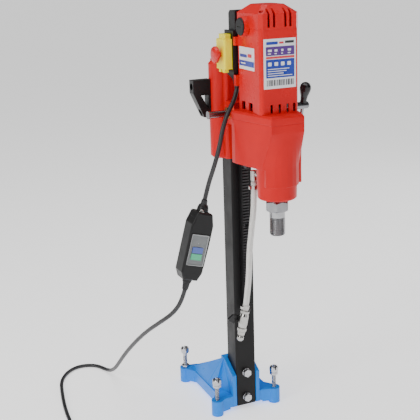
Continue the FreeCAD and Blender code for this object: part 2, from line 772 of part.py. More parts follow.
def round_plan(inset, steps=8):
    """The plan lower down, where the front is round about the spindle."""
    arc = []
    for k in range(steps + 1):
        angle = math.radians(205 + 130 * k / steps)
        radius = BLEND_RADIUS - inset
        if k == 0:
            radius += RIDGE
        arc.append((radius * math.cos(angle), SPINDLE_Y + radius * math.sin(angle)))
    return arc + box_sides(inset)


def box_sides(inset):
    left, right, back = BOX_LEFT - inset, BOX_RIGHT - inset, BOX_BACK - inset
    return [
        (right, BOX_SHOULDER), (right, back - 8), (right - 8, back), (8 - left, back), (-left, back - 8),
        (-left, BOX_SIDE),
    ]


def gear_case_form(inset, low, high):
    """The gear case's outside, or its inside with an inset: flat-fronted above, round below."""
    blend = loft(
        [(x, y, BLEND_BOTTOM) for x, y in round_plan(inset)],
        [(x, y, BLEND_TOP) for x, y in box_plan(inset, 8)],
    )
    form = fuse(prism(box_plan(inset), BLEND_TOP, high), blend)
    if low < BLEND_BOTTOM:
        form = fuse(form, prism(round_plan(inset), low, BLEND_BOTTOM))
    return form


def gearbox_housing():
    """The red gear case with the round nose that holds the spindle."""
    upper = gear_case_form(0, BOX_BOTTOM_LEFT, PARTING)
    lower = prism(round_plan(0), BOX_BOTTOM_RIGHT, BOX_BOTTOM_LEFT).common(
        fuse(box(0, 100, -300, BOX_BACK - 26, 0, 1000), box(-38, 100, -300, SPINDLE_Y + 8, 0, 1000))
    )
    nose = lathe(
        [
            (0, 0), (NOSE_END_RADIUS - 2.5, 0), (NOSE_END_RADIUS, 2.5), (NOSE_RADIUS, 54), (NOSE_RADIUS, 120),
            (0, 120),
        ],
        (0, SPINDLE_Y, NOSE_BOTTOM),
        (0, 0, 1),
    )
    corner = loft(
        [(30, -190, BOX_BOTTOM_RIGHT), (30, -209, BOX_BOTTOM_RIGHT), (47, -209, BOX_BOTTOM_RIGHT),
         (BOX_RIGHT, -205.5, BOX_BOTTOM_RIGHT), (BOX_RIGHT, -190, BOX_BOTTOM_RIGHT)],
        [(30, -190, BLEND_TOP), (30, -222, BLEND_TOP), (42, -222, BLEND_TOP),
         (47, -207, BLEND_TOP), (BOX_RIGHT - 0.2, -190, BLEND_TOP)],
    )
    body = fuse(upper, lower, nose, corner)
    floor = BOX_BOTTOM_LEFT + 4
    cavity = gear_case_form(WALL + 2, floor, PARTING + 1)
    for x, y in cover_screw_places():
        cavity = cavity.cut(rod(6.5, (x, y, 0), (x, y, 1000)))
    cavity = cavity.cut(box(-70, 70, BOX_BACK - 20, 0, 0, 1000))
    body = cut(body, cavity)
    axis = (0, SPINDLE_Y)
    body = cut(
        body,
        rod(20.0, (*axis, NOSE_BOTTOM - 1), (*axis, NOSE_BOTTOM + 4)),
        rod(27.0, (*axis, NOSE_BOTTOM + 3), (*axis, NOSE_BOTTOM + 13)),
        rod(31.0, (*axis, NOSE_BOTTOM + 13), (*axis, NOSE_BOTTOM + 29)),
        rod(21.0, (*axis, NOSE_BOTTOM + 29), (*axis, floor + 1)),
        rod(14.0, (COUNTER_X, COUNTER_Y, floor - 8), (COUNTER_X, COUNTER_Y, floor + 1)),
    )
    for x, y in cover_screw_places():
        bottom = cover_screw_seat(x)
        body = cut(
            body,
            rod(3.05, (x, y, bottom - 1), (x, y, PARTING + 1)),
            rod(5.1, (x, y, NOSE_BOTTOM - 1), (x, y, bottom)),
        )
    for x, z in mount_bolt_places():
        body = cut(body, rod(4.02, (x, BOX_BACK + 1, z), (x, BOX_BACK - 12, z)))
    inlet = inlet_direction()
    start = V(0, SPINDLE_Y, INLET_Z) + inlet * 18
    return cut(body, Part.makeCylinder(5.0, NOSE_RADIUS, start, inlet))


INLET_Z = 606.0
INLET_X = -30.0


def inlet_direction():
    """From the spindle's axis to the hose's axis."""
    way = V(INLET_X, HOSE_Y - SPINDLE_Y, 0)
    way.normalize()
    return way


def cover_screw_places():
    return [(-49.5, -152.0), (44.5, -179.0), (-47.5, -112.0), (43.5, -141.0)]


def cover_screw_seat(x):
    """The height of the gear case's underside at a cover screw."""
    return BOX_BOTTOM_RIGHT if x > 0 else BOX_BOTTOM_LEFT


def gearbox_cover():
    """The plate between gear case and motor; it carries the upper shaft bearings."""
    plate = prism(box_plan(0), PARTING, COVER_TOP - 4)
    shoulder = loft(
        [(x, y, COVER_TOP - 4) for x, y in box_plan(0)], [(x, y, COVER_TOP) for x, y in box_plan(3)]
    )
    body = fuse(plate, shoulder)
    low = PARTING - 1
    body = cut(
        body,
        rod(13.0, (0, MOTOR_Y, PARTING + 6), (0, MOTOR_Y, COVER_TOP + 1)),
        rod(9.0, (0, MOTOR_Y, low), (0, MOTOR_Y, COVER_TOP)),
        rod(11.0, (COUNTER_X, COUNTER_Y, low), (COUNTER_X, COUNTER_Y, PARTING + 7)),
        rod(18.0, (0, SPINDLE_Y, low), (0, SPINDLE_Y, PARTING + 9)),
    )
    for x, y in cover_screw_places():
        body = cut(body, rod(3.02, (x, y, low), (x, y, PARTING + 12)))
    return body


def housing_screws():
    """Cap screws: four up through the gear case into its cover, four down into the motor."""
    screws = []
    for x, y in cover_screw_places():
        bottom = cover_screw_seat(x)
        screws.append(socket_screw((x, y, bottom), (0, 0, 1), PARTING + 11 - bottom, 3.0))
    for x, y in cap_screw_places():
        screws.append(socket_screw((x, y, MOTOR_TOP - 22), (0, 0, -1), 42, 2.5))
    return group(*screws)


def cap_screw_places():
    return [(x, y) for x in (-35, 35) for y in (-201, -113)]


def spindle():
    """The output spindle: a 1 1/4 inch nose, a spanner hexagon, two journals and a water bore."""
    y = SPINDLE_Y
    body = fuse(
        cone(THREAD_RADIUS - 2, THREAD_RADIUS, (0, y, SPINDLE_TIP), (0, y, SPINDLE_TIP + 2)),
        rod(THREAD_RADIUS, (0, y, SPINDLE_TIP + 2), (0, y, THREAD_TOP)),
        hexagon(HEX_FLATS, (0, y, THREAD_TOP), (0, y, HEX_TOP)),
        rod(19.0, (0, y, HEX_TOP), (0, y, NOSE_BOTTOM + 4)),
        rod(JOURNAL_RADIUS, (0, y, NOSE_BOTTOM + 3), (0, y, 660)),
        rod(UPPER_JOURNAL, (0, y, 659), (0, y, PARTING + 8)),
    )
    bore = rod(WATER_BORE, (0, y, SPINDLE_TIP - 1), (0, y, INLET_Z + 6))
    ports = rod(3.0, (-20, y, INLET_Z), (20, y, INLET_Z))
    return cut(body, bore, ports)


GEAR_Z = 636.0


def spindle_gear():
    phase = counter_to_spindle() + math.pi + math.pi / SPINDLE_TEETH
    wheel = spur_gear(
        SPINDLE_TEETH, LOW_MODULE, 0.85 * LOW_MODULE, 1.2 * LOW_MODULE, phase,
        (0, SPINDLE_Y), GEAR_Z, GEAR_Z + 18,
    )
    return wheel.cut(rod(JOURNAL_RADIUS, (0, SPINDLE_Y, 600), (0, SPINDLE_Y, 700)))


def counter_to_spindle():
    return math.atan2(SPINDLE_Y - COUNTER_Y, -COUNTER_X)


def motor_to_counter():
    return math.atan2(COUNTER_Y - MOTOR_Y, COUNTER_X)


def countershaft():
    """The intermediate shaft, with its small pinion cut from the solid."""
    pinion = spur_gear(
        COUNTER_PINION_TEETH, LOW_MODULE, LOW_MODULE, 1.1 * LOW_MODULE, counter_to_spindle(),
        (COUNTER_X, COUNTER_Y), GEAR_Z - 1, GEAR_Z + 20,
    )
    low = BOX_BOTTOM_LEFT - 4
    return fuse(
        pinion,
        rod(6.0, (COUNTER_X, COUNTER_Y, low), (COUNTER_X, COUNTER_Y, GEAR_Z + 60)),
        rod(5.0, (COUNTER_X, COUNTER_Y, GEAR_Z + 59), (COUNTER_X, COUNTER_Y, PARTING + 6)),
    )


def counter_gear():
    phase = motor_to_counter() + math.pi + math.pi / COUNTER_TEETH
    wheel = spur_gear(
        COUNTER_TEETH, HIGH_MODULE, 0.65 * HIGH_MODULE, 1.2 * HIGH_MODULE, phase,
        (COUNTER_X, COUNTER_Y), 676, 688,
    )
    return wheel.cut(rod(6.0, (COUNTER_X, COUNTER_Y, 600), (COUNTER_X, COUNTER_Y, 720)))


def ball_bearings():
    """Six closed bearings, each shown as one ring that its shaft runs in."""
    places = [
        (JOURNAL_RADIUS, 31.0, (0, SPINDLE_Y), NOSE_BOTTOM + 13, 16),
        (UPPER_JOURNAL, 18.0, (0, SPINDLE_Y), PARTING - 1, 9),
        (6.0, 14.0, (COUNTER_X, COUNTER_Y), BOX_BOTTOM_LEFT - 4, 8),
        (5.0, 11.0, (COUNTER_X, COUNTER_Y), PARTING - 1, 7),
        (6.0, 13.0, (0, MOTOR_Y), PARTING + 6, 11),
        (5.0, 11.0, (0, MOTOR_Y), 927.0, 9),
    ]
    rings = []
    for inner, outer, (x, y), low, height in places:
        rings.append(ring(outer, inner + RUNNING_GAP, (x, y, low), (x, y, low + height)))
    return group(*rings)


def spindle_seals():
    """Three lip seals: one in the nose's mouth, two either side of the water ports."""
    y = SPINDLE_Y
    seals = [ring(27.0, JOURNAL_RADIUS + 0.05, (0, y, NOSE_BOTTOM + 4.2), (0, y, NOSE_BOTTOM + 12.8))]
    for low in (INLET_Z - 14.5, INLET_Z + 8):
        seals.append(ring(21.0, JOURNAL_RADIUS + 0.05, (0, y, low), (0, y, low + 8)))
    return group(*seals)


# ---------------------------------------------------------------- the motor

def motor_shell(z0, z1, inset, corner):
    return round_box(
        -MOTOR_HALF + inset, MOTOR_HALF - inset, MOTOR_FRONT + inset, MOTOR_BACK - inset, z0, z1, corner
    )


def motor_housing():
    """The motor's red casing, with a row of air slots round its foot."""
    shell = motor_shell(COVER_TOP, CAP_BOTTOM, 0, MOTOR_CORNER)
    shell = shell.cut(motor_shell(COVER_TOP - 1, CAP_BOTTOM + 1, SHELL, MOTOR_CORNER - 3))
    for x, y in cap_screw_places():
        shell = shell.fuse(box(x - 5, x + 5, y - 5.5, y + 5.5, CAP_BOTTOM - 34, CAP_BOTTOM))
    lugs = []
    for low, high in ((868, 885), (786, 808)):
        for side in (-1, 1):
            x0, x1 = sorted((side * (MOTOR_HALF - 3), side * (MOTOR_HALF + 8)))
            lugs.append(box(x0, x1, MOTOR_BACK - 9, MOTOR_BACK, low, high))
    seat = ring(42.0, 38.0, (0, MOTOR_Y, 772), (0, MOTOR_Y, 776))
    shell = fuse(shell, *lugs, seat.common(motor_shell(700, 900, 1, 5)))
    slots = []
    for x in (-18.5, -0.5, 17.0, 32.0):
        slots.append(box(x - 2.7, x + 2.7, MOTOR_FRONT - 1, MOTOR_FRONT + SHELL + 1, VENT_BOTTOM, VENT_TOP))
    for y in (-163.5, -130.5):
        slots.append(box(-MOTOR_HALF - 1, -MOTOR_HALF + SHELL + 1, y - 8.5, y + 8.5, VENT_BOTTOM, VENT_TOP))
        slots.append(box(MOTOR_HALF - SHELL - 1, MOTOR_HALF + 1, y - 8.5, y + 8.5, VENT_BOTTOM, VENT_TOP))
    for x, y in cap_screw_places():
        slots.append(rod(2.52, (x, y, CAP_BOTTOM - 30), (x, y, CAP_BOTTOM + 1)))
    return cut(shell, *slots)


def motor_top_cap():
    """The vented end cap, which carries the upper bearing and both brush tubes."""
    shoulder = MOTOR_TOP - 16
    outer = motor_shell(CAP_BOTTOM, shoulder, -0.8, MOTOR_CORNER)
    x, front, back = MOTOR_HALF + 0.8, MOTOR_FRONT - 0.8, MOTOR_BACK + 0.8
    lower = chamfered_plan(x, front, back, 7)
    upper = chamfered_plan(x - 19, front + 20, back - 20, 9)
    dome = loft([(u, v, shoulder) for u, v in lower], [(u, v, MOTOR_TOP) for u, v in upper])
    body = fuse(outer.common(prism(lower, CAP_BOTTOM, shoulder)), dome)
    lower_in = chamfered_plan(x - 4, front + 4, back - 4, 6)
    upper_in = chamfered_plan(x - 23, front + 24, back - 24, 7)
    body = cut(
        body,
        prism(lower_in, CAP_BOTTOM - 1, shoulder - 3),
        loft([(u, v, shoulder - 3) for u, v in lower_in], [(u, v, MOTOR_TOP - 4) for u, v in upper_in]),
    )
    spider = fuse(
        ring(14.0, 11.0, (0, MOTOR_Y, 925), (0, MOTOR_Y, MOTOR_TOP - 3)),
        box(-x + 2, -11.5, MOTOR_Y - 4, MOTOR_Y + 4, 925.5, 934),
        box(11.5, x - 2, MOTOR_Y - 4, MOTOR_Y + 4, 925.5, 934),
    )
    towers = []
    tubes = []
    for side in (-1, 1):
        ear = rod(19.5, (side * (MOTOR_HALF - 3), MOTOR_Y, BRUSH_Z + 1), (side * BRUSH_EAR, MOTOR_Y, BRUSH_Z + 1))
        tube = rod(9.0, (side * 27, MOTOR_Y, BRUSH_Z + 1), (side * 44, MOTOR_Y, BRUSH_Z + 1))
        towers += [ear, tube]
    for cx, cy in cap_screw_places():
        post = box(cx - 4.5, cx + 4.5, cy - 5.0, cy + 5.0, CAP_BOTTOM, MOTOR_TOP - 22)
        towers.append(post)
        tubes.append(rod(2.6, (cx, cy, CAP_BOTTOM - 1), (cx, cy, MOTOR_TOP - 21)))
        tubes.append(rod(4.4, (cx, cy, MOTOR_TOP - 22), (cx, cy, MOTOR_TOP)))
    body = fuse(body, spider, *towers)
    for side in (-1, 1):
        far = (side * 70, MOTOR_Y, BRUSH_Z + 1)
        tubes.append(rod(6.0, (side * 20, MOTOR_Y, BRUSH_Z + 1), far))
        tubes.append(rod(BRUSH_CAP_RADIUS + 0.2, (side * (BRUSH_EAR - 3), MOTOR_Y, BRUSH_Z + 1), far))
    tubes.append(rod(17.6, (0, MOTOR_Y, 880), (0, MOTOR_Y, 924)))
    for x in (-23.5, -11.5, 13.0, 24.0):
        tubes.append(box(x - 2.4, x + 2.4, MOTOR_FRONT - 2, MOTOR_FRONT + 11, 908, 946))
        tubes.append(box(x - 2.4, x + 2.4, MOTOR_BACK - 11, MOTOR_BACK + 2, 908, 946))
    body = cut(body, *tubes)
    skirt = motor_shell(CAP_BOTTOM - 60, CAP_BOTTOM, -0.9, MOTOR_CORNER)
    return body.cut(skirt)


def chamfered_plan(x, front, back, corner):
    return [
        (-x + corner, front), (x - corner, front), (x, front + corner), (x, back - corner),
        (x - corner, back), (-x + corner, back), (-x, back - corner), (-x, front + corner),
    ]


def stator():
    """The field: a laminated ring with two pole shoes and their coils."""
    low, high = 776.0, 846.0
    core = ring(38.0, 33.0, (0, MOTOR_Y, low), (0, MOTOR_Y, high))
    shoes = ring(33.5, 26.0, (0, MOTOR_Y, low), (0, MOTOR_Y, high)).common(
        fuse(
            box(-40, 40, MOTOR_Y - 40, MOTOR_Y - 16, low, high),
            box(-40, 40, MOTOR_Y + 16, MOTOR_Y + 40, low, high),
        )
    )
    coils = []
    for side in (-1, 1):
        for end in (low - 3.5, high + 0.5):
            arc = ring(33.0, 27.0, (0, MOTOR_Y, end), (0, MOTOR_Y, end + 3)).common(
                box(-40, 40, min(side * 12, side * 40) + MOTOR_Y, max(side * 12, side * 40) + MOTOR_Y, 0, 1000)
            )
            coils.append(arc)
    return group(fuse(core, shoes), *coils)


def armature():
    """The rotor: shaft, first-stage pinion and laminated core."""
    pinion = spur_gear(
        MOTOR_TEETH, HIGH_MODULE, HIGH_MODULE, 1.1 * HIGH_MODULE, motor_to_counter(), (0, MOTOR_Y), 674, 692
    )
    return fuse(
        pinion,
        rod(4.6, (0, MOTOR_Y, 690), (0, MOTOR_Y, PARTING)),
        rod(6.0, (0, MOTOR_Y, PARTING - 1), (0, MOTOR_Y, 921)),
        rod(5.0, (0, MOTOR_Y, 920), (0, MOTOR_Y, 937)),
        rod(25.2, (0, MOTOR_Y, 776), (0, MOTOR_Y, 846)),
        rod(16.5, (0, MOTOR_Y, 890), (0, MOTOR_Y, 918)),
    )


def fan():
    """The cooling fan pressed on the rotor's shaft above the gearbox."""
    disc = ring(34.0, 6.0, (0, MOTOR_Y, 744), (0, MOTOR_Y, 747))
    hub = ring(12.0, 6.0, (0, MOTOR_Y, 747), (0, MOTOR_Y, 762))
    blade = box(11, 33, MOTOR_Y - 0.8, MOTOR_Y + 0.8, 746.5, 760)
    blades = []
    for k in range(9):
        one = blade.copy()
        one.rotate(V(0, MOTOR_Y, 0), V(0, 0, 1), 40 * k)
        blades.append(one)
    return fuse(disc, hub, *blades)


def carbon_brushes():
    return group(
        *[
            box(min(s * 17, s * 34), max(s * 17, s * 34), MOTOR_Y - 4, MOTOR_Y + 4, BRUSH_Z - 3, BRUSH_Z + 5)
            for s in (-1, 1)
        ]
    )


def brush_caps():
    caps = []
    for side in (-1, 1):
        cap = lathe(
            [(0, 0), (5.8, 0), (5.8, 2), (BRUSH_CAP_RADIUS, 2), (BRUSH_CAP_RADIUS, 7), (16, 8.5), (0, 8.5)],
            (side * (BRUSH_EAR - 5), MOTOR_Y, BRUSH_Z + 1),
            (side, 0, 0),
        )
        slot = box(-1, 1, -8, 8, -1, 1)
        slot.translate(V(side * (BRUSH_EAR + 3.2), MOTOR_Y, BRUSH_Z + 1))
        caps.append(cap.cut(slot))
    return group(*caps)


def front_label():
    return box(-35.5, 35.5, MOTOR_FRONT - 0.5, MOTOR_FRONT, 789, 886)


def side_label():
    return box(-MOTOR_HALF - 0.5, -MOTOR_HALF, -184, -116, 822.5, 867)


# ---------------------------------------------------------------- switch and cable

def control_box():
    """The black electronics box on the motor's back."""
    front = MOTOR_BACK + 0.9
    shell = side_prism(
        [(front, 800), (-84, 800), (-72, 815), (-72, 931), (-78, 937), (front, 937)],
        -BOX_WIDTH_HALF,
        BOX_WIDTH_HALF,
    )
    room = box(3.5 - BOX_WIDTH_HALF, BOX_WIDTH_HALF - 3.5, front + 3.5, -82, 803.5, 931)
    gland = rod(7.2, (CABLE_START[0], -90, 795), (CABLE_START[0], -90, 806))
    return cut(shell, room, gland)


def switch_base():
    """The black socket of the magnetic switch, on the left of the electronics box."""
    body = side_prism(
        [(MOTOR_BACK + 0.9, 796), (SWITCH_BACK - 3, 811), (SWITCH_BACK - 3, 897), (MOTOR_BACK + 0.9, 897)],
        SWITCH_RIGHT - 2,
        -BOX_WIDTH_HALF,
    )
    return body.cut(rod(6.05, (-62, START_Y, START_Z), (-45.3, START_Y, START_Z)))


def switch_cover():
    """The yellow hinged cover that holds the stop button over the switch."""
    left, right = SWITCH_LEFT, SWITCH_RIGHT - 3.0
    body = box(left, right, SWITCH_FRONT, SWITCH_BACK, SWITCH_BOTTOM, 880)
    upright = [e for e in upright_edges(body) if e.BoundBox.XMax < left + 1]
    body = body.makeFillet(4, upright)
    body = fuse(body, box(left + 5, right, SWITCH_FRONT + 6, SWITCH_BACK - 6, 879, SWITCH_TOP))
    for y in (SWITCH_FRONT + 8, SWITCH_BACK - 16):
        body = fuse(body, box(left + 3, right - 5, y, y + 9, SWITCH_BOTTOM - 7, SWITCH_BOTTOM + 1))
    hollow = box(left + 2.5, right + 1, SWITCH_FRONT + 2.5, SWITCH_BACK - 2.5, SWITCH_BOTTOM + 2.5, 877)
    return cut(body, hollow, rod(6.05, (left - 1, STOP_Y, STOP_Z), (left + 4, STOP_Y, STOP_Z)))


def stop_button():
    return lathe(
        [(0, 0), (6.0, 0), (6.0, 8), (STOP_RADIUS, 9.5), (STOP_RADIUS, 14), (15.5, 16.5), (8, 18), (0, 18.4)],
        (SWITCH_LEFT + 1.5, STOP_Y, STOP_Z),
        (-1, 0, 0),
    )


def start_button():
    """The green start button under the cover."""
    return rod(6.0, (-58, START_Y, START_Z), (-48.6, START_Y, START_Z))


def box_gland():
    """The black gland where the cable leaves the electronics box."""
    return lathe(
        [
            (0, 0), (5.6, 0), (7.2, 9), (8.6, 12), (8.6, 15), (9.5, 15), (9.5, 20), (7.0, 20),
            (7.0, 26), (0, 26),
        ],
        CABLE_START,
        (0, 0, 1),
    )


def trip_glands():
    """The black glands at both ends of the trip switch."""
    top = lathe(
        TRIP_GLAND, tuple(trip_point(0, 0, TRIP_LENGTH / 2)), trip_axis()
    )
    down = [-c for c in trip_axis()]
    bottom = lathe(
        TRIP_GLAND, tuple(trip_point(0, 0, -TRIP_LENGTH / 2)), down
    )
    return group(top, bottom)


CABLE_START = (-37.0, -90.0, 780.0)
TRIP_CENTRE = (-148.0, -97.0, 455.0)
TRIP_TILT = 15.5             # degrees from upright, its lower end to the left
TRIP_LENGTH = 148.0
TRIP_WIDTH = 50.0
TRIP_DEPTH = 40.0
TRIP_GLAND = [(0, 0), (8.8, 0), (8.8, 6), (7.6, 8), (5.5, 26), (0, 26)]
TRIP_WINDOW = (-41.0, 27.0)
TRIP_BUTTONS = (-7.0, -21.5)


def trip_axis():
    tilt = math.radians(TRIP_TILT)
    return (math.sin(tilt), 0, math.cos(tilt))


def trip_point(across, deep, along):
    """A point in the trip switch's own frame."""
    tilt = math.radians(TRIP_TILT)
    cx, cy, cz = TRIP_CENTRE
    return V(
        cx + across * math.cos(tilt) + along * math.sin(tilt),
        cy + deep,
        cz - across * math.sin(tilt) + along * math.cos(tilt),
    )


def place_trip(shape):
    shape = shape.copy()
    shape.Placement = FreeCAD.Placement(
        V(*TRIP_CENTRE), FreeCAD.Rotation(V(0, 1, 0), TRIP_TILT)
    ).multiply(shape.Placement)
    return shape


def trip_housing():
    """The in-line residual current device that hangs on the motor's cable."""
    half, deep, long = TRIP_WIDTH / 2, TRIP_DEPTH / 2, TRIP_LENGTH / 2
    plan = [
        (-half + 8, -long), (half - 10, -long), (half - 2, -long + 18), (half, 0), (half, long - 26),
        (half - 7, long - 2), (half - 10, long), (-half + 10, long), (-half + 7, long - 2),
        (-half, long - 26), (-half, -long + 16),
    ]
    body = front_prism(plan, -deep, deep)
    edges = [e for e in body.Edges if e.BoundBox.YLength < 0.01]
    body = body.makeFillet(4, edges)
    body = cut(
        body,
        box(-20, 20, -deep - 1, -deep + 5, *TRIP_WINDOW),
        *[box(-w, w, -deep + 4, -deep + 11, z - h, z + h) for z, w, h in trip_button_holes()],
        box(-half + 4, half - 4, -deep + 10, deep - 4, -long + 8, long - 12),
    )
    return place_trip(body)


def trip_window():
    """The clear lid over the device's front."""
    deep = TRIP_DEPTH / 2
    low, high = TRIP_WINDOW
    lid = box(-19.9, 19.9, -deep + 1.5, -deep + 3.9, low + 0.1, high - 0.1)
    for z, w, h in trip_button_holes():
        lid = lid.cut(box(-w - 0.3, w + 0.3, -deep, -deep + 5, z - h - 0.3, z + h + 0.3))
    return place_trip(lid)


def trip_button_holes():
    """Height, half width and half height of the two rectangular wells."""
    return [(z, 12.0, 6.5) for z in TRIP_BUTTONS]


def trip_button(z):
    deep = TRIP_DEPTH / 2
    return place_trip(box(-11.95, 11.95, -deep - 0.5, -deep + 8, z - 6.45, z + 6.45))


# The motor's cable, from the gland under the electronics box to the trip switch.
MOTOR_CABLE = [
    CABLE_START,
    (-43, -91, 757),
    (-61, -96, 733),
    (-80, -108, 703),
    (-91, -112, 662),
    (-104, -111, 622),
    tuple(trip_point(0, 0, 132)),
    tuple(trip_point(0, 0, 100)),
]


# ---------------------------------------------------------------- water supply

HOSE_TOP = 590.0
VALVE_STEM = 20.0            # how far the lever's stem lies below the hose's end
VALVE_TOP = (-56.5, HOSE_Y, 305.0)
VALVE_TILT = 12.0            # degrees from upright, its lower end to the left
WATER_HOSE = [
    (INLET_X, HOSE_Y, HOSE_TOP),
    (INLET_X, HOSE_Y + 0.3, 540),
    (-36.5, HOSE_Y + 1.2, 488),
    (-43.5, HOSE_Y + 0.8, 436),
    (-46.0, HOSE_Y - 0.6, 384),
    (-51.0, HOSE_Y - 0.2, 340),
    VALVE_TOP,
]


def water_inlet():
    """The brass elbow at the nose's back left, with a barb that points down."""
    way = inlet_direction()
    start = V(0, SPINDLE_Y, INLET_Z) + way * (NOSE_RADIUS - 12)
    end = V(INLET_X, HOSE_Y, INLET_Z)
    stub = Part.makeCylinder(4.98, (end - start).Length, start, way)
    collar = Part.makeCylinder(7.0, 4.0, V(0, SPINDLE_Y, INLET_Z) + way * (NOSE_RADIUS + 0.3), way)
    body = fuse(
        stub,
        collar,
        rod(7.0, (INLET_X, HOSE_Y, HOSE_TOP + 2), (INLET_X, HOSE_Y, INLET_Z + 7)),
        rod(4.6, (INLET_X, HOSE_Y, HOSE_TOP - 26), (INLET_X, HOSE_Y, HOSE_TOP + 3)),
    )
    bore = fuse(
        Part.makeCylinder(3.0, (end - start).Length + 1, start - way, way),
        rod(3.0, (INLET_X, HOSE_Y, HOSE_TOP - 28), (INLET_X, HOSE_Y, INLET_Z + 1)),
    )
    return body.cut(bore)


def hose_clamp(centre, direction):
    """A steel band with its screw block."""
    c, d = V(*centre), V(*direction)
    d.normalize()
    band = Part.makeCylinder(HOSE_RADIUS + 1.0, 8, c - d * 4, d)
    band = band.cut(Part.makeCylinder(HOSE_RADIUS + 0.05, 10, c - d * 5, d))
    block = box(-3, 3, -3, 3, -3, 3)
    block.translate(c - V(HOSE_RADIUS + 2.0, 0, 0))
    block = block.cut(Part.makeCylinder(HOSE_RADIUS + 0.05, 40, c - d * 20, d))
    return fuse(band, block)


def hose_clamps():
    return group(
        hose_clamp((INLET_X, HOSE_Y, HOSE_TOP - 13), (0, 0, 1)),
        hose_clamp(valve_place(-9), tuple(valve_axis())),
    )


def valve_axis():
    tilt = math.radians(VALVE_TILT)
    return V(-math.sin(tilt), 0, -math.cos(tilt))


def valve_place(along):
    """A point on the valve's axis, along millimetres below the hose's end."""
    point = V(*VALVE_TOP) + valve_axis() * along
    return (point.x, point.y, point.z)


def valve_body():
    """The ball valve and the quick-connect nipple under it."""
    way = tuple(valve_axis())
    profile = [
        (0, -18), (4.6, -18), (4.6, 0), (9.3, 0), (9.3, 4.5), (7.8, 5.5), (8.4, 8), (9.4, 12), (9.4, 29),
        (8.4, 36), (7.8, 38), (9.8, 39), (9.8, 45), (7.8, 47), (7.8, 50), (7.4, 51), (7.4, 54), (5.0, 56),
        (7.0, 60), (7.0, 65), (4.6, 68), (0, 68),
    ]
    body = lathe(profile, VALVE_TOP, way)
    centre = V(*valve_place(VALVE_STEM))
    flow = Part.makeCylinder(3.0, 110, V(*valve_place(-20)), valve_axis())
    stem_hole = rod(3.04, tuple(centre), tuple(centre + V(0, 13, 0)))
    boss = rod(5.0, tuple(centre + V(0, 6, 0)), tuple(centre + V(0, 11, 0)))
    return fuse(body, boss).cut(flow).cut(stem_hole)


def valve_lever():
    """The black butterfly lever behind the valve, with its stem."""
    x, y, z = valve_place(VALVE_STEM)
    near, far = y + 11.8, y + 17.0
    wings = []
    for tip, waist, span in ((-31, -19, 10.0), (18, 11, 8.0)):
        plan = [
            (x, z - 4), (x + waist, z - span), (x + tip, z - 1.5), (x + tip, z + 1.5), (x + waist, z + span),
            (x, z + 4),
        ]
        wings.append(front_prism(plan, near, far))
    return fuse(rod(3.0, (x, y + 4, z), (x, y + 14, z)), rod(6.5, (x, near - 0.4, z), (x, far, z)), *wings)


# ---------------------------------------------------------------- supply cord and plug

SUPPLY_CORD = [
    tuple(trip_point(0, 0, -100)),
    (-182, -94, 332),
    (-196, -76, 300),
    (-214, -38, 268),
    (-228, 20, 226),
    (-236, 86, 174),
    (-240, 152, 120),
    (-239, 212, 70),
    (-238, 262, 30),
    (-240, 308, 5),
    (-262, 362, 5),
    (-318, 372, 5),
    (-366, 318, 5),
    (-384, 236, 5),
    (-398, 150, 5),
    (-405, 64, 5),
    (-410, -14, 5),
    (-406, -72, 8),
]
COIL_CENTRE = (-462.0, -76.0)
COIL_MIDDLE = 54.0
COIL_SECTION = 14.5


def cord_coil():
    x, y = COIL_CENTRE
    return Part.makeTorus(COIL_MIDDLE, COIL_SECTION, V(x, y, COIL_SECTION))


PLUG_START = (-479.0, 3.0, 18.5)
PLUG_WAY = (0.5, 0.866, 0)


def plug_body():
    """A grounded two-pin plug that lies beside the coil."""
    x, y, z = PLUG_START
    body = lathe(
        [
            (0, -30), (CORD_RADIUS, -30), (CORD_RADIUS, 0), (7.0, 18), (10.5, 22), (17.5, 34),
            (18.4, 40), (18.4, 54), (0, 54),
        ],
        (x, y, z),
        PLUG_WAY,
    )
    return body


def plug_pins():
    way = V(*PLUG_WAY)
    way.normalize()
    across = V(-way.y, way.x, 0)
    pins = []
    for side in (-1, 1):
        start = V(*PLUG_START) + way * 54 + across * (side * 9.5)
        pins.append(Part.makeCylinder(2.4, 19, start, way))
    return group(*pins)


# ---------------------------------------------------------------- write everything

os.makedirs("parts", exist_ok=True)

save("base_casting", base_casting())
save("column_tube", column_tube())
save("column_cap", column_cap())
save("rack", rack())
save("rack_screws", rack_screws())
save("column_bolts", column_bolts())
save("levelling_screw_front_left", levelling_screw(-FOOT_X, FOOT_FRONT, True))
save("levelling_screw_front_right", levelling_screw(FOOT_X, FOOT_FRONT, True))
save("levelling_screw_back_left", levelling_screw(-FOOT_X, FOOT_BACK, False))
save("levelling_screw_back_right", levelling_screw(FOOT_X, FOOT_BACK, False))
save("levelling_nuts", group(*[lock_nut(x, FOOT_BACK, FOOT_HEIGHT) for x in (-FOOT_X, FOOT_X)]))

save("carriage_casting", carriage_casting())
save("slide_pads", slide_pads())
save("feed_shaft", feed_shaft())
save("feed_bushes", feed_bushes())
save("feed_hub", feed_hub())
save("tommy_bar", tommy_bar())
save("feed_knobs", feed_knobs())
save("lock_knob", lock_knob())
save("carry_handle", carry_handle())
save("mount_bolts", mount_bolts())

save("gearbox_housing", gearbox_housing())
save("gearbox_cover", gearbox_cover())
save("housing_screws", housing_screws())
save("spindle", spindle())
save("spindle_gear", spindle_gear())
save("countershaft", countershaft())
save("counter_gear", counter_gear())
save("ball_bearings", ball_bearings())
save("spindle_seals", spindle_seals())

save("motor_housing", motor_housing())
save("motor_top_cap", motor_top_cap())
save("stator", stator())
save("armature", armature())
save("fan", fan())
save("carbon_brushes", carbon_brushes())
save("brush_caps", brush_caps())
save("front_label", front_label())
save("side_label", side_label())

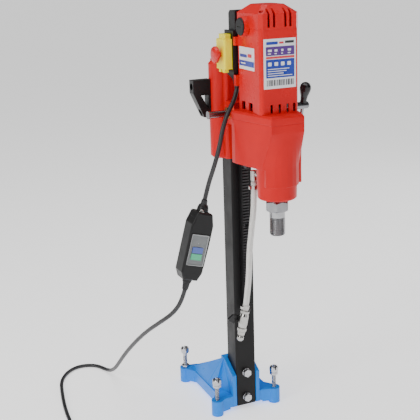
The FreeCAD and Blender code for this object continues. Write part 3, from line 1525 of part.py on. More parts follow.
save("control_box", control_box())
save("switch_base", switch_base())
save("switch_cover", switch_cover())
save("stop_button", stop_button())
save("start_button", start_button())
save("box_gland", box_gland())
save("trip_glands", trip_glands())
save("trip_housing", trip_housing())
save("trip_window", trip_window())
save("trip_reset_button", trip_button(TRIP_BUTTONS[0]))
save("trip_test_button", trip_button(TRIP_BUTTONS[1]))
save("motor_cable", cord_tube("motor_cable", MOTOR_CABLE, CORD_RADIUS, 5))

save("water_inlet", water_inlet())
save("hose_clamps", hose_clamps())
save("water_hose", cord_tube("water_hose", WATER_HOSE, HOSE_RADIUS, 5))
save("valve_body", valve_body())
save("valve_lever", valve_lever())

save("supply_cord", cord_tube("supply_cord", SUPPLY_CORD, CORD_RADIUS, 5))
save("cord_coil", cord_coil())
save("plug_body", plug_body())
save("plug_pins", plug_pins())
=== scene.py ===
import math

import bpy
from mathutils import Matrix, Vector, noise


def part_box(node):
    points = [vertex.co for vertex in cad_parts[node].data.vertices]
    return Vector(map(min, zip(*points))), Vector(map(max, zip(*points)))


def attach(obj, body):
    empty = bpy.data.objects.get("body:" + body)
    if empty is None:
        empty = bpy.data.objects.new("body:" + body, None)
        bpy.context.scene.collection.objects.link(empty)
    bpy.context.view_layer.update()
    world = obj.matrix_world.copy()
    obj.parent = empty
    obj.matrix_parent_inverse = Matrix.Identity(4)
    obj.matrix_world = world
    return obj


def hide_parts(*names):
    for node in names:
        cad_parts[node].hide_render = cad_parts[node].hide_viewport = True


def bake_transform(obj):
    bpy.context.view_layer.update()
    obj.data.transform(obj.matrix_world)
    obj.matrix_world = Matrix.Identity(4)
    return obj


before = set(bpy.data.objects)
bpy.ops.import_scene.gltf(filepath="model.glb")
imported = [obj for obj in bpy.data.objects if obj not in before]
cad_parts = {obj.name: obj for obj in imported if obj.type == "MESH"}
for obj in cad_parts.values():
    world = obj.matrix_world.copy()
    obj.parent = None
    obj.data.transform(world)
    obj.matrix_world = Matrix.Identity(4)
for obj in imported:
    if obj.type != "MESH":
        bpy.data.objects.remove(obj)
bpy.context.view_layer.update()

# Positions are written in metres from the column's centre line at floor level.
column_low, column_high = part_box("column_tube")
COLUMN = Vector(((column_low.x + column_high.x) / 2, (column_low.y + column_high.y) / 2, 0))
MM = 0.001


def at(x, y, z):
    """A point given in metres from the column's centre line and the floor, in the row frame."""
    return COLUMN + Vector((x, y, z))


# ---------------------------------------------------------------- materials


class Nodes:
    """Builds one node tree."""

    def __init__(self, name):
        self.material = bpy.data.materials.new(name)
        self.material.use_nodes = True
        self.tree = self.material.node_tree
        self.tree.nodes.clear()
        self.shader = self.add("ShaderNodeBsdfPrincipled")
        output = self.add("ShaderNodeOutputMaterial")
        self.link(self.shader.outputs[0], output.inputs["Surface"])
        self.coords = self.add("ShaderNodeTexCoord").outputs["Object"]

    def add(self, kind, **settings):
        node = self.tree.nodes.new(kind)
        for key, value in settings.items():
            setattr(node, key, value)
        return node

    def link(self, out, into):
        self.tree.links.new(out, into)

    def value(self, into, thing):
        """Link a socket or set a constant."""
        if isinstance(thing, bpy.types.NodeSocket):
            self.link(thing, into)
        else:
            into.default_value = thing

    def noise(self, scale, detail=4.0, rough=0.55, stretch=None, distortion=0.0):
        vector = self.coords
        if stretch:
            mapping = self.add("ShaderNodeMapping")
            mapping.inputs["Scale"].default_value = stretch
            self.link(self.coords, mapping.inputs["Vector"])
            vector = mapping.outputs[0]
        node = self.add("ShaderNodeTexNoise")
        node.inputs["Scale"].default_value = scale
        node.inputs["Detail"].default_value = detail
        node.inputs["Roughness"].default_value = rough
        node.inputs["Distortion"].default_value = distortion
        self.link(vector, node.inputs["Vector"])
        return node.outputs["Fac"]

    def ramp(self, fac, low, high, at_low=0.0, at_high=1.0):
        node = self.add("ShaderNodeMapRange")
        self.link(fac, node.inputs["Value"])
        node.inputs["From Min"].default_value = low
        node.inputs["From Max"].default_value = high
        node.inputs["To Min"].default_value = at_low
        node.inputs["To Max"].default_value = at_high
        return node.outputs[0]

    def math(self, operation, a, b=0.0):
        node = self.add("ShaderNodeMath", operation=operation)
        self.value(node.inputs[0], a)
        self.value(node.inputs[1], b)
        return node.outputs[0]

    def mix(self, fac, a, b):
        node = self.add("ShaderNodeMix", data_type="RGBA")
        self.value(node.inputs[0], fac)
        for index, colour in ((6, a), (7, b)):
            if isinstance(colour, bpy.types.NodeSocket):
                self.link(colour, node.inputs[index])
            else:
                node.inputs[index].default_value = (*colour, 1.0)
        return node.outputs[2]

    def edges(self, radius, sharp):
        """1 on outside edges, 0 on flat faces."""
        bevel = self.add("ShaderNodeBevel", samples=6)
        bevel.inputs["Radius"].default_value = radius
        geometry = self.add("ShaderNodeNewGeometry")
        dot = self.add("ShaderNodeVectorMath", operation="DOT_PRODUCT")
        self.link(bevel.outputs[0], dot.inputs[0])
        self.link(geometry.outputs["Normal"], dot.inputs[1])
        return self.ramp(dot.outputs["Value"], 1.0 - 0.02 * sharp, 1.0 - 0.16 * sharp)

    def bump(self, height, strength, distance, bevel=0.0008):
        node = self.add("ShaderNodeBump")
        node.inputs["Strength"].default_value = strength
        node.inputs["Distance"].default_value = distance
        self.link(height, node.inputs["Height"])
        if bevel:
            round_edge = self.add("ShaderNodeBevel", samples=6)
            round_edge.inputs["Radius"].default_value = bevel
            self.link(round_edge.outputs[0], node.inputs["Normal"])
        self.link(node.outputs[0], self.shader.inputs["Normal"])

    def set(self, **inputs):
        names = {
            "colour": "Base Color", "rough": "Roughness", "metal": "Metallic", "coat": "Coat Weight",
            "coat_rough": "Coat Roughness", "sheen": "Sheen Weight", "ior": "IOR",
            "see_through": "Transmission Weight", "specular": "Specular IOR Level",
            "scatter": "Subsurface Weight",
        }
        for key, thing in inputs.items():
            if key == "colour" and not isinstance(thing, bpy.types.NodeSocket):
                thing = (*thing, 1.0)
            self.value(self.shader.inputs[names[key]], thing)


DUST = (0.75, 0.72, 0.68)


def painted(name, colour, shade, rough=0.3, grain=900, grain_depth=0.00008, coat=0.3, wear=0.5,
            worn=(0.30, 0.30, 0.31), bevel=0.001, wave=0.0, dust=0.05, shine=0.4):
    """Paint or moulded plastic: cloudy colour, fine grain, scuffed edges and settled dust."""
    n = Nodes(name)
    cloud = n.ramp(n.noise(14, 5), 0.3, 0.7)
    fine = n.noise(grain, 3, 0.6)
    base = n.mix(cloud, colour, shade)
    speck = n.ramp(n.noise(grain * 0.45, 2), 0.62, 0.78)
    base = n.mix(n.math("MULTIPLY", speck, 0.12), base, [c * 0.6 for c in colour])
    scuff = n.math("MULTIPLY", n.edges(0.0016, 1.0), n.ramp(n.noise(120, 6, 0.7), 0.5, 0.72))
    base = n.mix(n.math("MULTIPLY", scuff, wear), base, worn)
    scratch = n.ramp(n.noise(60, 8, 0.8, stretch=(1, 1, 0.06), distortion=1.5), 0.68, 0.74)
    base = n.mix(n.math("MULTIPLY", scratch, 0.10), base, [min(1, c * 1.4 + 0.05) for c in colour])
    geometry = n.add("ShaderNodeNewGeometry")
    split = n.add("ShaderNodeSeparateXYZ")
    n.link(geometry.outputs["Normal"], split.inputs[0])
    upward_face = n.ramp(split.outputs["Z"], 0.3, 1.0)
    settled = n.math("MULTIPLY", upward_face, n.ramp(n.noise(45, 6, 0.65), 0.35, 0.75))
    base = n.mix(n.math("MULTIPLY", settled, dust), base, DUST)
    patch = n.ramp(n.noise(28, 4), 0.25, 0.75, rough * 0.8, rough * 1.25)
    roughness = n.math("ADD", patch, n.math("MULTIPLY", settled, 0.15))
    height = n.math("ADD", fine, n.math("MULTIPLY", n.noise(70, 2), wave))
    n.bump(height, 0.5, grain_depth, bevel)
    n.set(colour=base, rough=roughness, coat=coat, coat_rough=0.12, specular=shine)
    return n.material


THREAD_RELIEF = 12.0


def metal(name, colour, shade, rough=0.3, stretch=None, grain=260, depth=0.00003, bevel=0.0006,
          stain=(0.25, 0.22, 0.19), stained=0.25, whole=1.0, thread=None):
    """Bare or plated metal: fine machining lines, handling stains, bright edges.

    thread is (pitch, height up to which the part is threaded), in metres; its roots are darkened with painted
    shade.
    """
    n = Nodes(name)
    lines = n.noise(grain, 5, 0.7, stretch=stretch)
    cloud = n.ramp(n.noise(38, 5), 0.3, 0.7)
    base = n.mix(cloud, colour, shade)
    marks = n.ramp(n.noise(75, 7, 0.7), 0.56, 0.74)
    base = n.mix(n.math("MULTIPLY", marks, stained), base, stain)
    base = n.mix(n.math("MULTIPLY", n.edges(0.0008, 1.0), 0.35), base, [min(1, c * 1.35) for c in colour])
    machined = n.ramp(lines, 0.3, 0.7, rough * 0.7, rough * 1.3)
    roughness = n.math("ADD", machined, n.math("MULTIPLY", marks, 0.15))
    if thread:
        pitch, top = thread
        split = n.add("ShaderNodeSeparateXYZ")
        n.link(n.coords, split.inputs[0])
        wave = n.math("SINE", n.math("MULTIPLY", split.outputs["Z"], 2 * math.pi / pitch))
        below = n.math("LESS_THAN", split.outputs["Z"], top)
        lines = n.math("ADD", lines, n.math("MULTIPLY", wave, n.math("MULTIPLY", below, THREAD_RELIEF)))
        # Painted shade: the thread's roots are darker in colour, where shade would fall.
        painted_thread_root_shade = n.math("MULTIPLY", n.ramp(wave, -0.2, -1.0), below)
        base = n.mix(painted_thread_root_shade, base, [c * 0.35 for c in colour])
    n.bump(lines, 0.4, depth, bevel)
    n.set(colour=base, rough=roughness, metal=whole)
    return n.material


def rubber(name, colour, shade, rough=0.55, grain=1400):
    n = Nodes(name)
    cloud = n.ramp(n.noise(55, 5), 0.3, 0.7)
    base = n.mix(cloud, colour, shade)
    dust = n.ramp(n.noise(160, 6, 0.7), 0.6, 0.8)
    base = n.mix(n.math("MULTIPLY", dust, 0.12), base, (0.45, 0.43, 0.40))
    n.bump(n.noise(grain, 3), 0.35, 0.00005, 0)
    n.set(colour=base, rough=n.ramp(cloud, 0, 1, rough * 0.85, rough * 1.15), sheen=0.04)
    return n.material


def clear(name, colour, rough=0.06, milky=0.0, through=1.0, ior=1.46):
    n = Nodes(name)
    cloud = n.ramp(n.noise(90, 4), 0.3, 0.7)
    base = n.mix(cloud, colour, [c * 0.93 for c in colour])
    scratches = n.ramp(n.noise(240, 6, 0.7), 0.55, 0.75, 0.0, 0.25)
    n.bump(n.noise(300, 3), 0.2, 0.00003, 0)
    n.set(colour=base, rough=n.math("ADD", scratches, rough), see_through=through, ior=ior, scatter=milky)
    if milky:
        n.shader.inputs["Subsurface Radius"].default_value = (0.004, 0.004, 0.004)
        n.shader.inputs["Subsurface Scale"].default_value = 1.0
    return n.material


M = {
    "red": painted(
        "red_paint", (0.70, 0.005, 0.006), (0.63, 0.004, 0.005), rough=0.30, grain=500, grain_depth=0.00012,
        coat=0.05, wear=0.35, worn=(0.45, 0.12, 0.10), bevel=0.0016, wave=0.8, dust=0.02, shine=0.2,
    ),
    "red_case": painted(
        "red_gear_case", (0.68, 0.005, 0.006), (0.61, 0.004, 0.005), rough=0.34, grain=380,
        grain_depth=0.0002, coat=0.05, wear=0.35, worn=(0.42, 0.12, 0.10), bevel=0.0022, wave=1.4,
        dust=0.02, shine=0.2,
    ),
    "red_motor": painted(
        "red_motor_plastic", (0.71, 0.005, 0.006), (0.65, 0.004, 0.005), rough=0.28, grain=1100,
        grain_depth=0.00006, coat=0.05, wear=0.25, worn=(0.80, 0.18, 0.14), bevel=0.0012, wave=0.2,
        dust=0.02, shine=0.22,
    ),
    "blue": painted(
        "blue_powder_coat", (0.004, 0.27, 0.95), (0.003, 0.23, 0.88), rough=0.34, grain=650,
        grain_depth=0.00016, coat=0.05, wear=0.4, worn=(0.25, 0.38, 0.55), bevel=0.0025, wave=1.0,
        dust=0.02, shine=0.2,
    ),
    "black_column": painted(
        "black_column_paint", (0.006, 0.0055, 0.006), (0.011, 0.0105, 0.011), rough=0.42, grain=800,
        grain_depth=0.00008, coat=0.0, wear=0.45, worn=(0.16, 0.16, 0.165), bevel=0.0008, wave=0.4,
        dust=0.01, shine=0.22,
    ),
    "black_plastic": painted(
        "black_plastic", (0.007, 0.007, 0.0075), (0.013, 0.013, 0.014), rough=0.36, grain=1500,
        grain_depth=0.0001, coat=0.0, wear=0.35, worn=(0.10, 0.10, 0.105), bevel=0.0009, wave=0.1,
        dust=0.05, shine=0.3,
    ),
    "knob": painted(
        "knob_black", (0.008, 0.008, 0.009), (0.014, 0.014, 0.016), rough=0.22, grain=1300,
        grain_depth=0.00004, coat=0.15, wear=0.25, worn=(0.08, 0.08, 0.08), bevel=0.0006, wave=0.1,
        dust=0.01, shine=0.35,
    ),
    "yellow": painted(
        "yellow_plastic", (0.98, 0.88, 0.010), (0.95, 0.82, 0.009), rough=0.34, grain=1300,
        grain_depth=0.00005, coat=0.1, wear=0.3, worn=(0.6, 0.5, 0.2), bevel=0.0010, wave=0.2, dust=0.03,
    ),
    "stop": painted(
        "stop_red", (0.74, 0.008, 0.008), (0.64, 0.006, 0.006), rough=0.26, grain=1200, grain_depth=0.00003,
        coat=0.2, wear=0.3, worn=(0.8, 0.2, 0.18), bevel=0.0008, wave=0.1, dust=0.02,
    ),
    "green": painted(
        "button_green", (0.09, 0.58, 0.32), (0.07, 0.50, 0.27), rough=0.3, grain=1200, grain_depth=0.00003,
        coat=0.1, wear=0.2, worn=(0.3, 0.5, 0.35), bevel=0.0005, wave=0.1,
    ),
    "button_blue": painted(
        "button_blue", (0.10, 0.16, 0.50), (0.08, 0.13, 0.44), rough=0.3, grain=1200, grain_depth=0.00003,
        coat=0.1, wear=0.2, worn=(0.3, 0.4, 0.6), bevel=0.0005, wave=0.1,
    ),
    "rack": metal(
        "rack_steel", (0.045, 0.044, 0.046), (0.075, 0.073, 0.075), rough=0.42, stretch=(1, 1, 6),
        grain=220, depth=0.00006, bevel=0.0003, stain=(0.02, 0.018, 0.015), stained=0.6, whole=0.9,
    ),
    "steel": metal(
        "ground_steel", (0.32, 0.32, 0.335), (0.24, 0.24, 0.255), rough=0.20, stretch=(1, 1, 12), grain=200,
    ),
    "zinc": metal(
        "zinc_plate", (0.56, 0.56, 0.575), (0.46, 0.46, 0.49), rough=0.24, stretch=None, grain=260,
        depth=0.00004, bevel=0.0007, stain=(0.42, 0.40, 0.34), stained=0.35,
    ),
    "threaded": metal(
        "zinc_thread", (0.56, 0.56, 0.575), (0.46, 0.46, 0.49), rough=0.24, stretch=None, grain=260,
        depth=0.00004, bevel=0.0007, stain=(0.42, 0.40, 0.34), stained=0.35, whole=1.0,
        thread=(0.0015, 0.0695),
    ),
    "nickel": metal(
        "nickel_plate", (0.52, 0.51, 0.49), (0.42, 0.41, 0.39), rough=0.2, stretch=None, grain=220,
        depth=0.00003, bevel=0.0006,
    ),
    "brass": metal(
        "brass_worn", (0.62, 0.46, 0.18), (0.52, 0.37, 0.13), rough=0.28, stretch=None, grain=240,
        depth=0.00004, bevel=0.0006,
    ),
    "laminated": metal(
        "laminated_core", (0.22, 0.22, 0.24), (0.14, 0.14, 0.15), rough=0.4, stretch=(1, 1, 60), grain=120,
        depth=0.0001,
    ),
    "screw": metal(
        "black_oxide", (0.05, 0.05, 0.055), (0.08, 0.08, 0.085), rough=0.35, stretch=None, grain=300,
        depth=0.00004, bevel=0.0006,
    ),
    "bearing": metal(
        "bearing_steel", (0.7, 0.7, 0.72), (0.62, 0.62, 0.65), rough=0.15, stretch=(1, 1, 20), grain=200,
    ),
    "cable": rubber("cable_sheath", (0.016, 0.016, 0.018), (0.028, 0.028, 0.030), rough=0.42),
    "seal": rubber("seal_rubber", (0.03, 0.03, 0.03), (0.05, 0.05, 0.05), rough=0.5),
    "carbon": rubber("brush_carbon", (0.03, 0.03, 0.034), (0.05, 0.05, 0.055), rough=0.6, grain=2000),
    "pad": rubber("slide_plastic", (0.75, 0.74, 0.68), (0.68, 0.66, 0.6), rough=0.4, grain=900),
    "window": clear("window_clear", (0.34, 0.36, 0.37), 0.16, milky=0.0, through=0.45, ior=1.49),
    "hose": clear("hose_milky", (0.90, 0.89, 0.86), 0.16, milky=0.55, through=0.30, ior=1.42),
}

BY_NODE = {
    "red": ("carriage_casting",),
    "red_case": ("gearbox_housing", "gearbox_cover"),
    "red_motor": ("motor_housing", "motor_top_cap"),
    "blue": ("base_casting",),
    "black_column": ("column_tube",),
    "black_plastic": (
        "column_cap", "carry_handle", "brush_caps", "control_box", "switch_base", "box_gland", "trip_housing",
        "trip_glands", "fan",
    ),
    "knob": ("feed_knobs", "lock_knob", "valve_lever"),
    "yellow": ("switch_cover",),
    "stop": ("stop_button",),
    "green": ("start_button", "trip_test_button"),
    "button_blue": ("trip_reset_button",),
    "rack": ("rack",),
    "steel": (
        "feed_shaft", "feed_hub", "tommy_bar", "spindle", "spindle_gear", "countershaft", "counter_gear",
    ),
    "zinc": ("column_bolts", "levelling_nuts"),
    "threaded": (
        "levelling_screw_front_left", "levelling_screw_front_right", "levelling_screw_back_left",
        "levelling_screw_back_right",
    ),
    "nickel": ("hose_clamps", "valve_body", "water_inlet"),
    "brass": ("plug_pins", "feed_bushes"),
    "laminated": ("stator", "armature"),
    "screw": ("rack_screws", "mount_bolts", "housing_screws"),
    "bearing": ("ball_bearings",),
    "cable": ("motor_cable", "supply_cord", "cord_coil", "plug_body"),
    "seal": ("spindle_seals",),
    "carbon": ("carbon_brushes",),
    "pad": ("slide_pads",),
    "window": ("trip_window",),
    "hose": ("water_hose",),
}

for key, names in BY_NODE.items():
    for name in names:
        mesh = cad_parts[name].data
        mesh.materials.clear()
        mesh.materials.append(M[key])


# ---------------------------------------------------------------- shape helpers


def make(name, verts, faces, material, body, smooth=True):
    """A mesh object in the given slot; it rides on body, unless that is None."""
    mesh = bpy.data.meshes.new(name)
    mesh.from_pydata([tuple(v) for v in verts], [], faces)
    mesh.validate()
    mesh.materials.append(material)
    for polygon in mesh.polygons:
        polygon.use_smooth = smooth
    obj = bpy.data.objects.new(name, mesh)
    bpy.context.scene.collection.objects.link(obj)
    if body:
        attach(obj, body)
    return obj


def frame_of(axis):
    """The axis as a unit vector, with two directions square to it."""
    axis = Vector(axis).normalized()
    side = axis.orthogonal().normalized()
    return axis, side, axis.cross(side)


def revolve(profile, base, axis, steps=48):
    """Vertices and faces of a turned shape; profile is (radius, distance along axis)."""
    axis, side, up = frame_of(axis)
    verts, faces = [], []
    for radius, along in profile:
        for k in range(steps):
            angle = 2 * math.pi * k / steps
            verts.append(
                Vector(base) + axis * along + (side * math.cos(angle) + up * math.sin(angle)) * radius
            )
    for j in range(len(profile) - 1):
        for k in range(steps):
            a, b = j * steps + k, j * steps + (k + 1) % steps
            faces.append((a, b, b + steps, a + steps))
    faces.append(tuple(reversed(range(steps))))
    faces.append(tuple(range(len(verts) - steps, len(verts))))
    return verts, faces


def tube(path, radius, steps=20):
    """Vertices and faces of a round tube along a path, with a frame carried along it."""
    verts, faces = [], []
    tangent = (path[1] - path[0]).normalized()
    side = tangent.orthogonal().normalized()
    for i, point in enumerate(path):
        ahead = path[min(i + 1, len(path) - 1)] - path[max(i - 1, 0)]
        tangent = ahead.normalized()
        side = (side - tangent * side.dot(tangent)).normalized()
        up = tangent.cross(side)
        for k in range(steps):
            angle = 2 * math.pi * k / steps
            verts.append(point + (side * math.cos(angle) + up * math.sin(angle)) * radius)
    for i in range(len(path) - 1):
        for k in range(steps):
            a, b = i * steps + k, i * steps + (k + 1) % steps
            faces.append((a, b, b + steps, a + steps))
    faces.append(tuple(reversed(range(steps))))
    faces.append(tuple(range(len(verts) - steps, len(verts))))
    return verts, faces


def nurbs(name, points, resolution=8):
    """A curve object with one NURBS spline through the cord's route."""
    data = bpy.data.curves.new(name, "CURVE")
    data.dimensions = "3D"
    spline = data.splines.new("NURBS")
    spline.points.add(len(points) - 1)
    for target, point in zip(spline.points, points):
        target.co = (*point, 1.0)
    spline.order_u = 3
    spline.use_endpoint_u = True
    data.resolution_u = resolution
    obj = bpy.data.objects.new(name, data)
    bpy.context.scene.collection.objects.link(obj)
    return obj


def centreline(name, points, resolution=8):
    """The points of the route's own spline."""
    guide = nurbs(name + "_guide", points, resolution)
    bpy.context.view_layer.update()
    mesh = bpy.data.meshes.new_from_object(guide)
    path = [v.co.copy() for v in mesh.vertices]
    bpy.data.objects.remove(guide)
    bpy.data.meshes.remove(mesh)
    return path


def length_of(path):
    return sum((b - a).length for a, b in zip(path, path[1:]))


def rounded_plate(x0, x1, z0, z1, corner, steps=6):
    """The outline of a rounded rectangle."""
    points = []
    for cx, cz, start in (
        (x1 - corner, z1 - corner, 0), (x0 + corner, z1 - corner, 90), (x0 + corner, z0 + corner, 180),
        (x1 - corner, z0 + corner, 270),
    ):
        for k in range(steps + 1):
            angle = math.radians(start + 90 * k / steps)
            points.append((cx + corner * math.cos(angle), cz + corner * math.sin(angle)))
    return points


def plate(name, outline, origin, along, up, out, thickness, material, body):
    """A thin plate: the outline in metres along two directions, raised along a third."""
    base = [origin + along * u + up * v for u, v in outline]
    count = len(base)
    verts = base + [p + out * thickness for p in base]
    faces = [tuple(reversed(range(count))), tuple(range(count, 2 * count))]
    faces += [(k, (k + 1) % count, (k + 1) % count + count, k + count) for k in range(count)]
    return make(name, verts, faces, material, body, False)


# ---------------------------------------------------------------- camera, light, floor

SENSOR_WIDTH = 36.0
PICTURE_WIDTH = 420
FOCAL_LENGTH_IN_PIXELS = 894.42

camera_data = bpy.data.cameras.new("camera")
camera_data.sensor_width = SENSOR_WIDTH
camera_data.lens = FOCAL_LENGTH_IN_PIXELS / PICTURE_WIDTH * SENSOR_WIDTH
camera = bpy.data.objects.new("camera", camera_data)
yaw, pitch, roll = 0.404, 0.278, -0.032
look = Vector((math.sin(yaw) * math.cos(pitch), math.cos(yaw) * math.cos(pitch), -math.sin(pitch)))
level = Vector((math.cos(yaw), -math.sin(yaw), 0))
rise = level.cross(look)
right = level * math.cos(roll) + rise * math.sin(roll)
upward = -level * math.sin(roll) + rise * math.cos(roll)
place = Matrix((right, upward, -look)).transposed().to_4x4()
place.translation = at(-0.8263, -1.7720, 1.0465)
camera.matrix_world = place
camera_data.clip_end = 50
bpy.context.scene.collection.objects.link(camera)
bpy.context.scene.camera = camera


def area_light(name, position, target, size, power, tint=(1, 1, 1)):
    data = bpy.data.lights.new(name, "AREA")
    data.shape = "RECTANGLE"
    data.size, data.size_y = size
    data.energy = power
    data.color = tint
    lamp = bpy.data.objects.new(name, data)
    lamp.location = position
    lamp.rotation_euler = (Vector(target) - Vector(position)).to_track_quat("-Z", "Y").to_euler()
    bpy.context.scene.collection.objects.link(lamp)


MIDDLE = at(0, -0.05, 0.5)
area_light("key_left", at(-2.9, -1.1, 1.9), MIDDLE, (1.2, 2.0), 52, (1.0, 0.99, 0.97))
area_light("fill_front", at(0.5, -3.2, 1.4), MIDDLE, (0.7, 2.2), 9, (0.97, 0.98, 1.0))
area_light("rim_right", at(2.4, 0.9, 1.3), MIDDLE, (0.5, 2.0), 12)
area_light("top_soft", at(-0.3, -0.2, 3.0), MIDDLE, (2.4, 2.4), 55)

world = bpy.data.worlds.new("studio")
world.use_nodes = True
world.node_tree.nodes["Background"].inputs[0].default_value = (1.0, 1.0, 1.0, 1.0)
world.node_tree.nodes["Background"].inputs[1].default_value = 0.12
bpy.context.scene.world = world

floor_material = Nodes("floor_pale")
floor_tone = floor_material.ramp(floor_material.noise(1.5, 3), 0.3, 0.7)
floor_material.set(
    colour=floor_material.mix(floor_tone, (0.93, 0.93, 0.93), (0.90, 0.90, 0.90)),
    rough=0.65,
    specular=0.1,
)
floor_material.shader.inputs["Emission Color"].default_value = (1.0, 1.0, 1.0, 1.0)
floor_material.shader.inputs["Emission Strength"].default_value = 0.95
floor_mesh = bpy.data.meshes.new("floor")
far, drop = 30, 0.0005
floor_corners = [(-far, -far, -drop), (far, -far, -drop), (far, far, -drop), (-far, far, -drop)]
floor_mesh.from_pydata(floor_corners, [], [(0, 1, 2, 3)])
floor_mesh.materials.append(floor_material.material)
floor = bpy.data.objects.new("floor", floor_mesh)
bpy.context.scene.collection.objects.link(floor)

# ---------------------------------------------------------------- cords and hose

CABLE = 0.0095
HOSE = 0.0127
# The trip switch's middle, its tilt, and how far along its axis the cables come out of their glands.
TRIP = at(-0.148, -0.097, 0.455)
TRIP_TILT = math.radians(15.5)
TRIP_AXIS = Vector((math.sin(TRIP_TILT), 0, math.cos(TRIP_TILT)))
TRIP_ACROSS = Vector((math.cos(TRIP_TILT), 0, -math.sin(TRIP_TILT)))
GLAND_END = 0.100

cable_route = [
    (-0.037, -0.090, 0.780),
    (-0.043, -0.091, 0.757),
    (-0.061, -0.096, 0.733),
    (-0.080, -0.108, 0.703),
    (-0.091, -0.112, 0.662),
    (-0.104, -0.111, 0.622),
]
cable_points = [at(*p) for p in cable_route] + [TRIP + TRIP_AXIS * 0.132, TRIP + TRIP_AXIS * GLAND_END]
cable_path = centreline("motor_cable", cable_points, 12)
verts, faces = tube(cable_path, CABLE / 2, 20)
motor_cable = make("motor_cable_sheath", verts, faces, M["cable"], None)
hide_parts("motor_cable")
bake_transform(motor_cable)

hose_route = [
    (-0.030, -0.147, 0.590),
    (-0.030, -0.1467, 0.540),
    (-0.0365, -0.1458, 0.488),
    (-0.0435, -0.1462, 0.436),
    (-0.0460, -0.1476, 0.384),
    (-0.0510, -0.1472, 0.340),
    (-0.0565, -0.147, 0.305),
]
hose_path = centreline("water_hose", [at(*p) for p in hose_route], 12)
verts, faces = tube(hose_path, HOSE / 2, 28)
hose = make("water_hose_wall", verts, faces, M["hose"], "water_line")
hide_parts("water_hose")

supply_route = [
    (-0.182, -0.094, 0.332),
    (-0.196, -0.076, 0.300),
    (-0.214, -0.038, 0.268),
    (-0.228, 0.020, 0.226),
    (-0.236, 0.086, 0.174),
    (-0.240, 0.152, 0.120),
    (-0.239, 0.212, 0.070),
    (-0.238, 0.262, 0.030),
    (-0.240, 0.308, 0.0052),
    (-0.262, 0.362, 0.0052),
    (-0.318, 0.372, 0.0052),
    (-0.366, 0.318, 0.0052),
    (-0.384, 0.236, 0.0052),
    (-0.398, 0.150, 0.0052),
    (-0.404, 0.060, 0.0052),
    (-0.405, -0.014, 0.0055),
]
# The coil's centre, the radius of its middle, and how its turns pack: the distance between neighbours and
# the seat of each turn, as a direction in degrees and 1, or 0 for the seat in the middle.
COIL = at(-0.462, -0.076, 0.0145)
COIL_RADIUS = 0.054
PACK = 0.0098
SEATS = [(300, 1), (240, 1), (180, 1), (0, 0), (0, 1), (60, 1), (120, 1)]


def seat(index):
    """Where a turn lies in the coil's section: outwards and up from its middle."""
    angle, off_middle = SEATS[index]
    return (
        PACK * off_middle * math.cos(math.radians(angle)),
        PACK * off_middle * math.sin(math.radians(angle)),
    )


def coil_points():
    """Seven turns, each going over to its next seat a little earlier than the turn before."""
    points = []
    per_turn = 16
    last = len(SEATS) - 1
    change = 320.0
    for turn in range(len(SEATS)):
        change = change - 22.0 if turn < last else 205.0
        for k in range(per_turn):
            degrees = turn * 360.0 + 360.0 * k / per_turn
            local = 360.0 * k / per_turn
            if turn == last and local > change:
                break
            shift = min(max((local - change) / 50.0, 0.0), 1.0)
            here, there = seat(turn), seat(min(turn + 1, last))
            out = here[0] + (there[0] - here[0]) * shift
            up = here[1] + (there[1] - here[1]) * shift
            angle = -math.radians(degrees)
            wobble = 0.0009 * noise.noise(Vector((degrees * 0.011, turn * 1.7, 3.1)))
            radius = COIL_RADIUS + 0.0012 + out + wobble
            points.append(COIL + Vector((radius * math.cos(angle), radius * math.sin(angle), up)))
    return points


PLUG_START = at(-0.479, 0.003, 0.0185)
PLUG_WAY = Vector((0.5, 0.866, 0)).normalized()
supply_points = [TRIP - TRIP_AXIS * GLAND_END] + [at(*p) for p in supply_route] + coil_points()
supply_points += [PLUG_START - PLUG_WAY * 0.026 + Vector((0, 0, 0.004))]
supply_points += [PLUG_START - PLUG_WAY * 0.010, PLUG_START]
supply = nurbs("supply_cord_sheath", supply_points, 8)
supply.data.bevel_depth = CABLE / 2
supply.data.bevel_resolution = 5
supply.data.use_fill_caps = True
supply.data.materials.append(M["cable"])
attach(supply, "stand")
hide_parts("supply_cord", "cord_coil")
supply_length = length_of(centreline("supply_measure", supply_points, 8))

# ---------------------------------------------------------------- spindle

SPINDLE = at(0, -0.193, 0)
THREAD_PITCH = 25.4 / 7 * MM
CREST, ROOT = 0.0162, 0.0143
SPINDLE_TIP, HEX_BOTTOM, HEX_TOP, SHOULDER_TOP = 0.482, 0.535, 0.556, 0.5665
PLAIN_NECK = 0.0145
HEX_HALF_FLATS = 0.0225
BORE = 0.005


def root_shade():
    """Ground steel, with painted shade darkening it towards the roots of the thread."""
    n = Nodes("threaded_spindle_steel")
    centre = n.add("ShaderNodeVectorMath", operation="SUBTRACT")
    n.link(n.coords, centre.inputs[0])
    centre.inputs[1].default_value = (SPINDLE.x, SPINDLE.y, 0)
    flat = n.add("ShaderNodeVectorMath", operation="MULTIPLY")
    n.link(centre.outputs[0], flat.inputs[0])
    flat.inputs[1].default_value = (1, 1, 0)
    radius = n.add("ShaderNodeVectorMath", operation="LENGTH")
    n.link(flat.outputs[0], radius.inputs[0])
    painted_root_shade_mask = n.ramp(radius.outputs["Value"], 0.0160, 0.0144)
    base = n.mix(n.ramp(n.noise(60, 5), 0.3, 0.7), (0.46, 0.46, 0.475), (0.36, 0.36, 0.375))
    marks = n.ramp(n.noise(90, 7, 0.7), 0.55, 0.75)
    base = n.mix(n.math("MULTIPLY", marks, 0.3), base, (0.22, 0.20, 0.18))
    # Painted shade: darker towards the thread's roots, by distance from the spindle's axis.
    base = n.mix(n.math("MULTIPLY", painted_root_shade_mask, 0.55), base, (0.12, 0.118, 0.116))
    lines = n.noise(700, 3, 0.6, stretch=(1, 1, 5))
    n.bump(lines, 0.3, 0.00002, 0)
    n.set(colour=base, rough=n.ramp(lines, 0.3, 0.7, 0.18, 0.32), metal=1.0)
    return n.material


